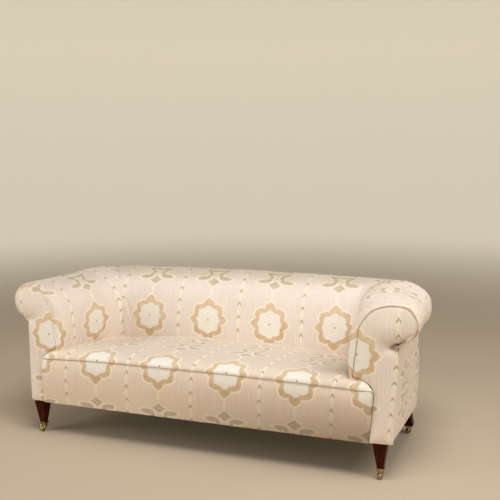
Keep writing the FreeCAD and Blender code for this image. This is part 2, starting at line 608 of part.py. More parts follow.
# ------------------------------------------------------------------ castors
mouth = "(Dim.leg_foot + (Dim.leg_top - Dim.leg_foot) * (Dim.cup_top - Dim.foot_z) / (Dim.frame_z - Dim.foot_z))"
cups, plates = [], []
for side, sg in SIDES:
    b = doc.addObject("PartDesign::Body", "cup_blank_" + side)
    s0 = sketch(b, "cup_base_" + side, "XY_Plane", "Dim.cup_z")
    rect(s0, "Dim.leg_foot + 2 * Dim.cup_wall", "Dim.leg_foot + 2 * Dim.cup_wall")
    s1 = sketch(b, "cup_rim_" + side, "XY_Plane", "Dim.cup_top")
    rect(s1, mouth + " + 2 * Dim.cup_wall", mouth + " + 2 * Dim.cup_wall")
    loft(b, "cup_shell_" + side, s0, s1)
    s2 = sketch(b, "cup_seat_" + side, "XY_Plane", "Dim.foot_z")
    rect(s2, "Dim.leg_foot", "Dim.leg_foot")
    s3 = sketch(b, "cup_mouth_" + side, "XY_Plane", "Dim.cup_top")
    rect(s3, mouth, mouth)
    loft(b, "cup_socket_" + side, s2, s3, "PartDesign::SubtractiveLoft")
    s4 = sketch(b, "cup_bore_" + side, "XY_Plane", "Dim.cup_z")
    circ(s4, "Dim.pin_d + 2 * Dim.pin_run")
    pocket(b, "cup_pin_bore_" + side, s4, "Dim.foot_z - Dim.cup_z", True)
    bind(b, Placement__Base__x="%d * Dim.leg_x" % sg, Placement__Base__y="Dim.leg_y")
    cups.append(cut("castor_cup_" + side, b, leg_holes["front", sg]))

    b = doc.addObject("PartDesign::Body", "plate_blank_" + side)
    s0 = sketch(b, "plate_outline_" + side, "XY_Plane", "Dim.cup_z")
    rect(s0, "Dim.plate_w", "Dim.plate_w")
    circ(s0, "Dim.pin_d + 2 * Dim.pin_run")
    pad(b, "plate_pad_" + side, s0, "Dim.foot_z - Dim.cup_z")
    bind(b, Placement__Base__x="%d * Dim.rear_leg_x" % sg, Placement__Base__y="Dim.rear_leg_y")
    plates.append(cut("castor_plate_" + side, b, leg_holes["rear", sg]))
keep(group("front_castor_cups", cups), "front_castor_cups")
keep(group("rear_castor_plates", plates), "rear_castor_plates")

for pos, px, py in (("front", "Dim.leg_x", "Dim.leg_y"), ("rear", "Dim.rear_leg_x", "Dim.rear_leg_y")):
    for side, sg in SIDES:
        tag = "%s_%s" % (pos, side)
        # fork: two cheeks under a round top, with the swivel pin riveted over
        b = doc.addObject("PartDesign::Body", "castor_fork_" + tag)
        s0 = sketch(b, "cheek_" + tag, "YZ_Plane")
        t, wr = d("trail"), d("wheel_r")
        c0 = V(-t, wr, 0)
        line = [V(9, 29.2, 0), V(-10, 29.2, 0), V(-t - 5.5, wr, 0)]
        g = [s0.addGeometry(Part.LineSegment(line[0], line[1]), False),
             s0.addGeometry(Part.LineSegment(line[1], line[2]), False),
             s0.addGeometry(Part.Arc(line[2], V(-t, wr - 5.5, 0), V(-t + 5.5, wr, 0)), False),
             s0.addGeometry(Part.LineSegment(V(-t + 5.5, wr, 0), V(9, 24.6, 0)), False),
             s0.addGeometry(Part.LineSegment(V(9, 24.6, 0), line[0]), False)]
        pad(b, "cheeks_" + tag, s0, "Dim.fork_w", mid=True)
        s1 = sketch(b, "slot_" + tag, "YZ_Plane")
        rect(s1, "60", "2 * (29.0)", "0", "0")
        p1 = b.newObject("PartDesign::Pocket", "wheel_slot_" + tag)
        p1.Profile = s1
        p1.setExpression("Length", "Dim.fork_gap")
        p1.Midplane = True
        s2 = sketch(b, "crown_" + tag, "XY_Plane", "29.0")
        circ(s2, "25")
        pad(b, "fork_crown_" + tag, s2, "Dim.fork_top - 29.0")
        s3 = sketch(b, "pin_" + tag, "XY_Plane", "Dim.fork_top")
        circ(s3, "Dim.pin_d")
        pad(b, "swivel_pin_" + tag, s3, "Dim.foot_z + 0.3 - Dim.fork_top")
        s4 = sketch(b, "head_" + tag, "XY_Plane", "Dim.foot_z + 0.3")
        circ(s4, "Dim.pin_head")
        pad(b, "pin_head_" + tag, s4, "2.2")
        s5 = sketch(b, "axle_hole_" + tag, "YZ_Plane")
        circ(s5, "Dim.axle_d", "-Dim.trail", "Dim.wheel_r")
        p2 = b.newObject("PartDesign::Pocket", "axle_bore_" + tag)
        p2.Profile = s5
        p2.setExpression("Length", "Dim.fork_w + 10")
        p2.Midplane = True
        bind(b, Placement__Base__x="%d * %s" % (sg, px), Placement__Base__y=py)
        keep(b, "castor_fork_" + tag)

        shaft = rod("axle_shaft_" + tag, "Dim.axle_d", "Dim.fork_w", "%d * %s - Dim.fork_w / 2" % (sg, px),
                    "%s - Dim.trail" % py, "Dim.wheel_r", "X")
        h1 = rod("axle_head_a_" + tag, "Dim.axle_d + 2.4", "1", "%d * %s + Dim.fork_w / 2" % (sg, px),
                 "%s - Dim.trail" % py, "Dim.wheel_r", "X")
        h2 = rod("axle_head_b_" + tag, "Dim.axle_d + 2.4", "1", "%d * %s - Dim.fork_w / 2 - 1" % (sg, px),
                 "%s - Dim.trail" % py, "Dim.wheel_r", "X")
        f = doc.addObject("Part::MultiFuse", "castor_axle_" + tag)
        f.Shapes = [shaft, h1, h2]
        keep(f, "castor_axle_" + tag)

        # crowned brass wheel, turned about its axle
        b = doc.addObject("PartDesign::Body", "castor_wheel_" + tag)
        s0 = sketch(b, "tread_" + tag, "XY_Plane")
        w2, br = d("wheel_w") / 2, d("axle_d") / 2 + d("pin_run")
        pr = [V(-w2, br, 0), V(w2, br, 0), V(w2, wr - 3.2, 0), V(w2 - 1.2, wr - 2.0, 0),
              V(-w2 + 1.2, wr - 2.0, 0), V(-w2, wr - 3.2, 0)]
        g = [Part.LineSegment(pr[0], pr[1]), Part.LineSegment(pr[1], pr[2]),
             Part.LineSegment(pr[2], pr[3]), Part.Arc(pr[3], V(0, wr, 0), pr[4]),
             Part.LineSegment(pr[4], pr[5]), Part.LineSegment(pr[5], pr[0])]
        for k in g:
            s0.addGeometry(k, False)
        r = b.newObject("PartDesign::Revolution", "wheel_turn_" + tag)
        r.Profile = s0
        r.ReferenceAxis = (s0, ["H_Axis"])
        r.Angle = 360.0
        bind(b, Placement__Base__x="%d * %s" % (sg, px), Placement__Base__y="%s - Dim.trail" % py,
             Placement__Base__z="Dim.wheel_r")
        keep(b, "castor_wheel_" + tag)

# ------------------------------------------------------------- check, write
doc.recompute()
bad = []
for o in doc.Objects:
    if "Invalid" in o.State or "Error" in o.State:
        bad.append("%s: %s" % (o.Name, o.State))
for o in NODES:
    if o.Shape.isNull() or not o.Shape.isValid() or not o.Shape.Solids:
        bad.append("%s: no valid solid" % o.Label)
    if any(k.Volume <= 0 for k in o.Shape.Solids):
        bad.append("%s: a solid with no volume" % o.Label)
if bad:
    raise RuntimeError("; ".join(bad))
if len(set(o.Label for o in NODES)) != len(NODES):
    raise RuntimeError("two sub-parts share a name")

os.makedirs("parts", exist_ok=True)
total = FreeCAD.BoundBox()
for o in NODES:
    o.Shape.exportStep("parts/%s.step" % o.Label)
    total.add(o.Shape.BoundBox)
    print("%-28s %2d solids %10.0f mm3" % (o.Label, len(o.Shape.Solids), o.Shape.Volume))
print(len(NODES), "nodes;", "box", [round(k, 2) for k in (
    total.XMin, total.XMax, total.YMin, total.YMax, total.ZMin, total.ZMax)])
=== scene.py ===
"""Looks for the sofa: upholstery, piping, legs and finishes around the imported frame.
All lengths are metres in the frame of the part: X along the sofa, Y to the back, Z up."""
import json
import math

import bmesh
import bpy
import numpy as np
from mathutils import Matrix, Vector, noise


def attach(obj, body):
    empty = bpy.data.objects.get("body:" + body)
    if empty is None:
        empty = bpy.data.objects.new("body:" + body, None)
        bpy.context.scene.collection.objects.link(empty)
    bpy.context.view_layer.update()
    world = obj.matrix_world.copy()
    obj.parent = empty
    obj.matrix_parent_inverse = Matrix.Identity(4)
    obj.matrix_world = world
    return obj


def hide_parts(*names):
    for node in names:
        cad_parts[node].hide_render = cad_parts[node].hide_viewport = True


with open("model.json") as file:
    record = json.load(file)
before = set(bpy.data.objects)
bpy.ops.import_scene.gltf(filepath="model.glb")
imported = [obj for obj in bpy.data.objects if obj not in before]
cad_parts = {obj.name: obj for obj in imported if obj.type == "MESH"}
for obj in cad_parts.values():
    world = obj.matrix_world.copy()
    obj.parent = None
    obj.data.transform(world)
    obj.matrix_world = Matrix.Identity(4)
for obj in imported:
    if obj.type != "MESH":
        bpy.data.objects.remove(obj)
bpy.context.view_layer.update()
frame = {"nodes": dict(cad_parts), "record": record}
scene = bpy.context.scene
rad = math.radians

# ------------------------------------------------------------------- camera
YAW, PITCH, ROLL = rad(21.55), rad(8.35), rad(0.43)
cam_data = bpy.data.cameras.new("camera")
cam = bpy.data.objects.new("camera", cam_data)
scene.collection.objects.link(cam)
cam_data.sensor_width = 36.0
cam_data.lens = 36.0 * 880.7 / 500.0
cam.matrix_world = (Matrix.Translation((1.581, -3.716, 1.45)) @ Matrix.Rotation(YAW, 4, "Z")
                    @ Matrix.Rotation(math.pi / 2 - PITCH, 4, "X") @ Matrix.Rotation(-ROLL, 4, "Z"))
scene.camera = cam


# ---------------------------------------------------------------- curve tools
def catmull(ctrl, t):
    """Points of a smooth curve through ctrl at parameters t, where t = k is control point k."""
    c = np.asarray(ctrl, float)
    c = np.vstack([2 * c[0] - c[1], c, 2 * c[-1] - c[-2]])
    t = np.clip(np.asarray(t, float), 0, len(c) - 3)
    k = np.minimum(t.astype(int), len(c) - 4)
    f = (t - k)[:, None]
    p0, p1, p2, p3 = c[k], c[k + 1], c[k + 2], c[k + 3]
    return 0.5 * (2 * p1 + (p2 - p0) * f + (2 * p0 - 5 * p1 + 4 * p2 - p3) * f ** 2
                  + (3 * p1 - p0 - 3 * p2 + p3) * f ** 3)


def even(ctrl, n):
    """Parameters that space n points evenly along the curve through ctrl, and its length."""
    t = np.linspace(0, len(ctrl) - 1, 60 * len(ctrl))
    p = catmull(ctrl, t)
    s = np.concatenate([[0], np.cumsum(np.linalg.norm(np.diff(p, axis=0), axis=1))])
    return np.interp(np.linspace(0, s[-1], n), s, t), s[-1]


def ss(a, b, x):
    t = np.clip((np.asarray(x, float) - a) / (b - a), 0, 1)
    return t * t * (3 - 2 * t)


def arc_len(p):
    """Length along rows of points."""
    return np.concatenate([[0], np.cumsum(np.linalg.norm(np.diff(p, axis=0), axis=1))])


def wob(p, scale, seed):
    """Smooth noise from about -1 to 1 at a point."""
    return noise.noise(Vector((p[0] * scale + seed * 7.31, p[1] * scale - seed * 3.17, p[2] * scale + seed * 1.93)))


# ----------------------------------------------------------------- mesh tools
def make(name, verts, faces, uv=None, material=None, sharp=50.0, close=False):
    """A mesh object. uv is one pair for each vertex, in metres of cloth."""
    me = bpy.data.meshes.new(name)
    me.from_pydata([tuple(map(float, v)) for v in verts], [], [tuple(map(int, f)) for f in faces])
    if uv is not None:
        layer = me.uv_layers.new(name="cloth")
        loops = np.zeros(len(me.loops), int)
        me.loops.foreach_get("vertex_index", loops)
        layer.data.foreach_set("uv", np.asarray(uv, float)[loops].ravel())
    bm = bmesh.new()
    bm.from_mesh(me)
    if close:
        bmesh.ops.recalc_face_normals(bm, faces=bm.faces)
    for f in bm.faces:
        f.smooth = True
    bm.to_mesh(me)
    bm.free()
    me.set_sharp_from_angle(angle=rad(sharp))
    ob = bpy.data.objects.new(name, me)
    scene.collection.objects.link(ob)
    if material:
        me.materials.append(material)
    return ob


def grid_faces(rows, cols, wrap=False):
    """Quads over rows x cols points; wrap joins the last column to the first."""
    out = []
    for r in range(rows - 1):
        for c in range(cols if wrap else cols - 1):
            n = (c + 1) % cols
            out.append((r * cols + c, r * cols + n, (r + 1) * cols + n, (r + 1) * cols + c))
    return out


def tube(name, path, radius, sides=10, material=None, uv_u=0.0):
    """A round cord along points, with closed ends."""
    path = [Vector(p) for p in path]
    verts, faces, uv = [], [], []
    side = None
    s = arc_len(np.array(path))
    for k, p in enumerate(path):
        t = (path[min(k + 1, len(path) - 1)] - path[max(k - 1, 0)]).normalized()
        if side is None:
            side = t.cross(Vector((0.3, 0.2, 1.0))).normalized()
        side = (side - t * side.dot(t)).normalized()
        up = t.cross(side)
        for a in range(sides):
            q = 2 * math.pi * a / sides
            verts.append(p + side * math.cos(q) * radius + up * math.sin(q) * radius)
            uv.append((s[k], q * radius))
    faces = grid_faces(len(path), sides, True)
    faces.append(tuple(range(sides))[::-1])
    faces.append(tuple((len(path) - 1) * sides + a for a in range(sides)))
    return make(name, verts, faces, uv, material, close=True)


# ------------------------------------------------------------------ materials
tree = None


def lin(r, g, b):
    """A colour given as it looks on screen, 0 to 255."""
    f = lambda c: (c / 255 / 12.92) if c / 255 <= 0.04045 else ((c / 255 + 0.055) / 1.055) ** 2.4
    return (f(r), f(g), f(b), 1.0)


class E:
    """A number in a shader tree; arithmetic on it makes Math nodes."""

    def __init__(self, s):
        self.s = s

    def __add__(self, o): return op("ADD", self, o)
    def __radd__(self, o): return op("ADD", o, self)
    def __sub__(self, o): return op("SUBTRACT", self, o)
    def __rsub__(self, o): return op("SUBTRACT", o, self)
    def __mul__(self, o): return op("MULTIPLY", self, o)
    def __rmul__(self, o): return op("MULTIPLY", o, self)
    def __truediv__(self, o): return op("DIVIDE", self, o)
    def __neg__(self): return op("MULTIPLY", self, -1.0)


def plug(sock, v):
    if isinstance(v, E):
        tree.links.new(v.s, sock)
    else:
        sock.default_value = v


def op(kind, *a):
    n = tree.nodes.new("ShaderNodeMath")
    n.operation = kind
    for k, v in enumerate(a):
        plug(n.inputs[k], v)
    return E(n.outputs[0])


def eabs(x): return op("ABSOLUTE", x)
def emin(a, *b):
    for k in b:
        a = op("MINIMUM", a, k)
    return a
def emax(a, *b):
    for k in b:
        a = op("MAXIMUM", a, k)
    return a
def emod(a, b): return op("FLOORED_MODULO", a, b)
def esqrt(a): return op("SQRT", a)


def step(x, edge, soft):
    """1 where x is below edge, easing to 0 over soft."""
    n = tree.nodes.new("ShaderNodeMapRange")
    n.interpolation_type = "SMOOTHSTEP"
    plug(n.inputs["Value"], x)
    n.inputs["From Min"].default_value = edge - soft
    n.inputs["From Max"].default_value = edge + soft
    n.inputs["To Min"].default_value = 1.0
    n.inputs["To Max"].default_value = 0.0
    return E(n.outputs["Result"])


def vec(x, y, z=0.0):
    n = tree.nodes.new("ShaderNodeCombineXYZ")
    for k, v in enumerate((x, y, z)):
        plug(n.inputs[k], v)
    return E(n.outputs[0])


def nz(v, scale, detail=2.0, rough=0.5):
    """Noise from 0 to 1."""
    n = tree.nodes.new("ShaderNodeTexNoise")
    plug(n.inputs["Vector"], v)
    n.inputs["Scale"].default_value = scale
    n.inputs["Detail"].default_value = detail
    n.inputs["Roughness"].default_value = rough
    return E(n.outputs[0])


def mix(fac, a, b):
    """Colour a turning to b as fac goes from 0 to 1."""
    n = tree.nodes.new("ShaderNodeMix")
    n.data_type = "RGBA"
    plug(n.inputs[0], fac)
    plug(n.inputs[6], a)
    plug(n.inputs[7], b)
    return E(n.outputs[2])


def circle(x, y, cx, cy, r):
    dx, dy = x - cx, y - cy
    return esqrt(dx * dx + dy * dy) - r


def oval(x, y, cx, cy, a, b):
    dx, dy = (x - cx) / a, (y - cy) / b
    return (esqrt(dx * dx + dy * dy) - 1.0) * min(a, b)


def diamond(x, y, cx, cy, a, b):
    return (eabs(x - cx) * b + eabs(y - cy) * a - a * b) * (1.0 / math.hypot(a, b))


def stroke(x, y, x0, y0, x1, y1, r):
    """Distance to a straight stroke with round ends."""
    bx, by = x1 - x0, y1 - y0
    px, py = x - x0, y - y0
    h = emin(emax((px * bx + py * by) * (1.0 / (bx * bx + by * by)), 0.0), 1.0)
    dx, dy = px - h * bx, py - h * by
    return esqrt(dx * dx + dy * dy) - r


def new_material(name, rough=0.6, spec=0.5, sheen=0.0, metallic=0.0):
    global tree
    m = bpy.data.materials.new(name)
    m.use_nodes = True
    tree = m.node_tree
    tree.nodes.clear()
    out = tree.nodes.new("ShaderNodeOutputMaterial")
    b = tree.nodes.new("ShaderNodeBsdfPrincipled")
    b.inputs["Roughness"].default_value = rough
    b.inputs["Specular IOR Level"].default_value = spec
    b.inputs["Metallic"].default_value = metallic
    b.inputs["Sheen Weight"].default_value = sheen
    b.inputs["Sheen Roughness"].default_value = 0.5
    tree.links.new(b.outputs[0], out.inputs["Surface"])
    return m, b


def bump(b, height, strength, distance):
    n = tree.nodes.new("ShaderNodeBump")
    n.inputs["Strength"].default_value = strength
    n.inputs["Distance"].default_value = distance
    plug(n.inputs["Height"], height)
    tree.links.new(n.outputs[0], b.inputs["Normal"])


GROUND = lin(236, 221, 207)
GROUND_2 = lin(226, 207, 192)
HALO = lin(246, 234, 215)
BAND = lin(242, 232, 214)
IVORY = lin(242, 237, 227)
IVORY_2 = lin(218, 211, 200)
RING = lin(223, 199, 165)
RING_2 = lin(197, 163, 122)
GREY = lin(210, 195, 173)
GREY_2 = lin(184, 167, 143)
CHEVRON = lin(182, 148, 111)
DOT = lin(160, 122, 96)


def paint_shade(fac, col, shade_col):
    """Paints shade into a colour: multiplies it by a shade colour where fac is 1."""
    n = tree.nodes.new("ShaderNodeMix")
    n.data_type, n.blend_type = "RGBA", "MULTIPLY"
    plug(n.inputs[0], fac)
    plug(n.inputs[6], col)
    n.inputs[7].default_value = shade_col + (1.0,)
    return E(n.outputs[2])


def upholstery(name, u0=0.0, v0=0.0, pitch=31.5, highlight_fade=0.0, crest_shade=0.0, hem=0.0, crease=(),
               arm_shadow=None, lighting_tint=(1.0, 1.0, 1.0)):
    """Woven cloth with a blurred, resist-dyed repeat: scalloped medallions and grey foliate motifs in columns,
    with bands of chevrons between the columns. u0, v0 is where a medallion's centre lies on the cloth."""
    m, b = new_material(name, rough=0.82, spec=0.25, sheen=0.12)
    src = tree.nodes.new("ShaderNodeUVMap")
    src.uv_map = "cloth"
    sep = tree.nodes.new("ShaderNodeSeparateXYZ")
    tree.links.new(src.outputs[0], sep.inputs[0])
    u = (E(sep.outputs[0]) - u0) * 100.0
    v = (E(sep.outputs[1]) - v0) * 100.0
    raw = vec(u, v)
    # painted highlight: how far the pattern is washed out towards the ground colour at the start of the cloth
    leaf = 0.9 - highlight_fade * step(u, 16.0, 8.0) if highlight_fade else 0.9
    # threads shift a little along the warp, so edges are ragged
    thread = nz(vec(u * 3.0, v * 0.25), 1.0, 2.0) - 0.5
    sway = nz(vec(u * 0.3, v * 0.3, 4.0), 1.0, 1.0) - 0.5
    pv = v + thread * 0.75 + sway * 0.5
    pu = u + (nz(vec(u * 0.5, v * 0.9, 9.0), 1.0, 2.0) - 0.5) * 0.7
    x = eabs(emod(pu + pitch / 2, pitch) - pitch / 2)
    y = emod(pv + 30.0, 60.0) - 30.0
    ay = eabs(y)
    w = 30.0 - ay

    # medallion: eight pointed lobes round a pale core
    xn, yn = x / 9.6, ay / 11.0
    rho = esqrt(xn * xn + yn * yn)
    th = op("ARCTAN2", yn, xn)
    tw = th + op("SINE", th * 2.0) * 0.096 + op("SINE", th * 4.0) * 0.045
    t = eabs(emod(tw + math.pi / 8, math.pi / 4) - math.pi / 8) * (8 / math.pi)
    tip = (1.0 - t) * (1.0 - t)
    dome = esqrt(emax(1.0 - t * t, 0.0))
    diag = op("SINE", th * 2.0)
    outer = 0.735 + dome * 0.180 + tip * 0.085 - diag * diag * 0.065
    core = 0.555 + (1.0 - t) * 0.095 + diag * diag * 0.02
    lobes = (rho - outer) * 9.6
    star = (rho - core) * 9.6
    # foliate motif, mirrored about its middle
    motif = emin(diamond(x, w, 0.0, 10.4, 3.2, 2.5), oval(x, w - (x - 5.7) * 0.08, 5.7, 8.2, 3.2, 1.2),
                 stroke(x, w, 3.4, 7.6, 2.4, 5.0, 0.9), stroke(x, w, 2.4, 5.0, 5.5, 1.4, 0.85),
                 stroke(x, w, 5.5, 1.4, 0.0, 2.4, 0.75))
    stem = emin(oval(x, ay, 0.0, 14.4, 0.85, 1.5), emax(x - 0.3, eabs(ay - 14.4) - 3.6))
    # band of chevrons
    sx = pitch / 2 - x
    cv = emod(pv, 6.5)
    half = 0.5 + eabs(cv - 3.25) * 0.14 + thread * 0.5
    chev = emax(eabs(cv - (3.1 - sx * 1.7)) - 0.48, sx - 0.85)
    edge = eabs(sx - half) - 0.06
    bead = sx - half - 0.15

    stri = nz(vec(u * 5.0, v * 0.05, 2.0), 1.0, 2.0)
    weft = nz(vec(u * 0.15, v * 3.5, 6.0), 1.0, 1.0)
    cloud = nz(raw, 0.06, 2.0)
    # painted light and shade: each piece's ground colour is multiplied by its own tint, making lit and shaded copies
    # of one cloth
    ground_lit = [tuple(c[k] * lighting_tint[k] for k in range(3)) + (1.0,) for c in (GROUND, GROUND_2)]
    col = mix(emin(emax((stri - 0.35) * 2.2 + (cloud - 0.5) * 0.6, 0.0), 1.0), ground_lit[0], ground_lit[1])
    tone = nz(raw, 0.22, 2.0)
    # band
    col = mix(step(bead, 0.0, 0.3) * (leaf - 0.05), col, BAND)
    col = mix(step(edge, 0.0, 0.16) * 0.16, col, CHEVRON)
    col = mix(step(chev, 0.0, 0.2) * leaf, col, CHEVRON)
    # stems and halos
    pale = emin(lobes - 0.95, stem)
    col = mix(step(pale, 0.0, 0.28) * 0.85, col, HALO)
    col = mix(step(motif - 0.68, 0.0, 0.28) * (leaf - 0.05), col, HALO)
    fleck = nz(vec(u * 1.2, v * 1.2, 3.0), 1.0, 3.0)
    col = mix(step(motif, 0.0, 0.3) * leaf, col, mix(emin(emax((fleck - 0.36) * 2.6 + (tone - 0.5), 0.0), 1.0), GREY, GREY_2))
    # painted shade: the lower lobes of each ring lean to the darker ring colour
    col = mix(step(lobes, 0.0, 0.22) * 0.95, col,
              mix(emin(emax((tone - 0.3) * 1.4 + (fleck - 0.5) * 0.9 - y * 0.025, 0.0), 1.0), RING, RING_2))
    rip = op("SINE", esqrt(x * x * 1.4 + y * y) * 4.2 + (fleck - 0.5) * 11.0)
    inner = mix(emin(emax(rip * 0.22 + (fleck - 0.42) * 1.4, 0.0), 1.0) * 0.8, IVORY, IVORY_2)
    col = mix(step(star, 0.0, 0.22), col, inner)
    if crest_shade:
        # painted shade: darker along the crest
        dusk = (1.0 - step(v, 22.0, 5.0)) * step(v, 44.0, 6.0) * (0.55 + cloud * 0.9)
        col = paint_shade(emin(dusk, 1.0) * crest_shade, col, (0.77, 0.74, 0.66))
    if hem:
        # painted shade: darker towards the floor, more at one end than the other
        dusk = emin(emax((-2.0 - v) / 21.0, 0.0), 1.0) * emax(0.46 + cloud * 0.1 + u * 0.009, 0.12)
        col = paint_shade(emin(dusk, 1.0) * hem, col, (0.53, 0.49, 0.43))
    if arm_shadow:
        # painted shadow of the right arm, in the corner of seat, back and arm
        amount, at, soft, above = arm_shadow
        rows = 1.0 - step(v, at, soft) if above else step(v, at, soft)
        col = paint_shade((1.0 - step(u, 42.0, 12.0)) * rows * amount, col, (0.50, 0.44, 0.37))
    for strength, r, soft, shade_col, pts in crease:
        # painted shade along a fold
        fold = [stroke(u, v, a[0], a[1], c[0], c[1], r) for a, c in zip(pts[:-1], pts[1:])]
        col = paint_shade(step(emin(*fold) if len(fold) > 1 else fold[0], 0.0, soft) * strength, col, shade_col)
    dot = circle(x, y, 0.0, 0.0, 0.5)
    col = mix(step(dot - 0.75, 0.0, 0.2) * 0.5, col, HALO)
    col = mix(step(dot, 0.0, 0.2) * 0.7, col, DOT)
    tree.links.new(col.s, b.inputs["Base Color"])
    weave = nz(vec(u * 9.0, v * 9.0), 1.0, 2.0) * 0.5 + stri * 0.5 + weft * 0.3
    bump(b, weave, 0.25, 0.0008)
    return m


def plain(name, c0, c1, scale, rough=0.7, spec=0.4, stretch=(1, 1, 1), strength=0.15, metallic=0.0, detail=3.0, sheen=0.0):
    """One colour turning to another by noise in object space."""
    m, b = new_material(name, rough, spec, sheen, metallic)
    tc = tree.nodes.new("ShaderNodeTexCoord")
    mp = tree.nodes.new("ShaderNodeMapping")
    mp.inputs["Scale"].default_value = stretch
    tree.links.new(tc.outputs["Object"], mp.inputs["Vector"])
    n = nz(E(mp.outputs[0]), scale, detail)
    t = emin(emax((n - 0.3) * 2.5, 0.0), 1.0)
    tree.links.new(mix(t, lin(*c0), lin(*c1)).s, b.inputs["Base Color"])
    bump(b, n, strength, 0.001)
    return m, b


MAT = {}
# The tints below give lit and shaded copies of one cloth, painted light and shade; the crest, hem, corner and fold
# settings paint shade into the cloth.
MAT["back"] = upholstery("cloth_back", u0=0.1700, v0=0.010, pitch=31.8, crest_shade=1.0, arm_shadow=(0.75, -2.5, 4.5, False),
                         lighting_tint=(1.0, 1.04, 1.08))
MAT["seat"] = upholstery("cloth_seat", u0=0.1575, v0=0.007, arm_shadow=(0.85, 9.0, 4.0, True), lighting_tint=(0.96, 0.945, 0.90))
MAT["border"] = upholstery("cloth_border", u0=0.1575, v0=0.007, hem=1.0, lighting_tint=(1.03, 1.01, 0.97))
# painted shade in the folds on the facings, in cm of cloth: under the scroll, and where the seat's corner presses
# against them
FOLD_R = [(0.95, 0.5, 1.0, (0.30, 0.23, 0.16), [(13.6, 4.0), (17.8, 6.5)]),
          (0.60, 0.15, 0.45, (0.40, 0.34, 0.28), [(14.5, 3.9), (16.6, 5.4)]),
          (0.80, 0.30, 0.30, (0.42, 0.32, 0.22), [(-1.45, -9.4), (1.55, -10.1), (4.35, -11.6), (6.3, -13.8), (6.85, -15.6)])]
FOLD_L = [(0.80, 0.30, 0.30, (0.42, 0.32, 0.22), [(-4.2, -6.4), (-2.75, -6.9), (-0.8, -8.1), (1.4, -9.55), (3.0, -10.7), (4.35, -12.0)])]
MAT["facing_right"] = upholstery("cloth_facing_right", lighting_tint=(1.03, 1.05, 1.08), crease=FOLD_R)
MAT["facing_left"] = upholstery("cloth_facing_left", crest_shade=0.45, lighting_tint=(1.0, 1.02, 1.05), crease=FOLD_L)
MAT["arm"] = upholstery("cloth_arm", crest_shade=0.45, lighting_tint=(1.0, 1.02, 1.05))
MAT["arm_right"] = upholstery("cloth_arm_right", highlight_fade=0.5)
MAT["outside"] = upholstery("cloth_outside", u0=0.1575, v0=0.05)
# The piping is self-coloured cloth; the seat's piping and the right piping are darker copies of it: painted shade.
MAT["piping"], _ = plain("cloth_piping", (186, 164, 142), (160, 138, 118), 300, 0.85, 0.2)
MAT["piping_right"], _ = plain("cloth_piping_right", (208, 189, 168), (184, 163, 141), 300, 0.85, 0.2)
MAT["piping_left"], _ = plain("cloth_piping_left", (236, 219, 202), (226, 207, 188), 300, 0.85, 0.2)
MAT["mahogany"], wood_b = plain("wood_mahogany", (78, 25, 4), (34, 8, 1), 14, 0.45, 0.07, (6, 6, 0.7), 0.08)
wood_b.inputs["Coat Weight"].default_value = 0.03
wood_b.inputs["Coat Roughness"].default_value = 0.15
MAT["beech"], _ = plain("wood_beech", (205, 170, 128), (184, 146, 104), 12, 0.6, 0.3, (1, 6, 6), 0.1)
MAT["brass"], _ = plain("metal_brass", (190, 166, 118), (126, 102, 64), 60, 0.27, 0.5, (1, 1, 1), 0.05, 1.0)
MAT["spring_steel"], _ = plain("metal_spring", (120, 118, 114), (84, 82, 80), 60, 0.42, 0.5, (1, 1, 1), 0.05, 1.0)
MAT["jute"], _ = plain("cloth_jute", (176, 146, 104), (140, 112, 76), 350, 0.95, 0.1)
MAT["stuffing"], _ = plain("fibre_stuffing", (206, 196, 178), (176, 164, 144), 60, 0.95, 0.1)
MAT["black_cotton"], _ = plain("cloth_black", (34, 32, 31), (22, 21, 20), 400, 0.95, 0.1)

# ------------------------------------------------------------------ cloth run
def relax(ob, held, pressure, cap, frames=18):
    """Lets a cover find its shape over the filling: a short cloth run under pressure with the tacked edges held.
    The movement is capped and written into the mesh."""
    me = ob.data
    n = len(me.vertices)
    before = np.zeros(n * 3)
    me.vertices.foreach_get("co", before)
    before = before.reshape(-1, 3)
    g = ob.vertex_groups.new(name="tacked")
    for k in np.nonzero(held > 0)[0]:
        g.add([int(k)], float(held[k]), "REPLACE")
    md = ob.modifiers.new("cover", "CLOTH")
    st = md.settings
    st.quality = 6
    st.mass = 0.35
    st.tension_stiffness = st.compression_stiffness = 30.0
    st.shear_stiffness = 12.0
    st.bending_stiffness = 1.5
    st.air_damping = 4.0
    st.vertex_group_mass = "tacked"
    st.use_pressure = True
    st.uniform_pressure_force = pressure
    st.effector_weights.gravity = 0.0
    md.collision_settings.use_collision = False
    md.point_cache.frame_start = 1
    md.point_cache.frame_end = frames
    for f in range(1, frames + 1):
        scene.frame_set(f)
    ev = ob.evaluated_get(bpy.context.evaluated_depsgraph_get())
    after = np.zeros(n * 3)
    ev.data.vertices.foreach_get("co", after)
    after = after.reshape(-1, 3)
    ob.modifiers.remove(md)
    ob.vertex_groups.remove(g)
    move = after - before
    far = np.linalg.norm(move, axis=1)[:, None]
    move *= cap * np.tanh(far / cap) / np.maximum(far, 1e-9)
    me.vertices.foreach_set("co", (before + move).ravel())
    me.update()
    scene.frame_set(1)
    RELAX.append((ob.name, round(float(far.max()), 4), round(float(np.linalg.norm(move, axis=1).max()), 4)))


RELAX = []

# ------------------------------------------------- rolled arms and rolled back
SIDE_X, BACK_Y, FRONT_Y = 0.857, 0.312, -0.372
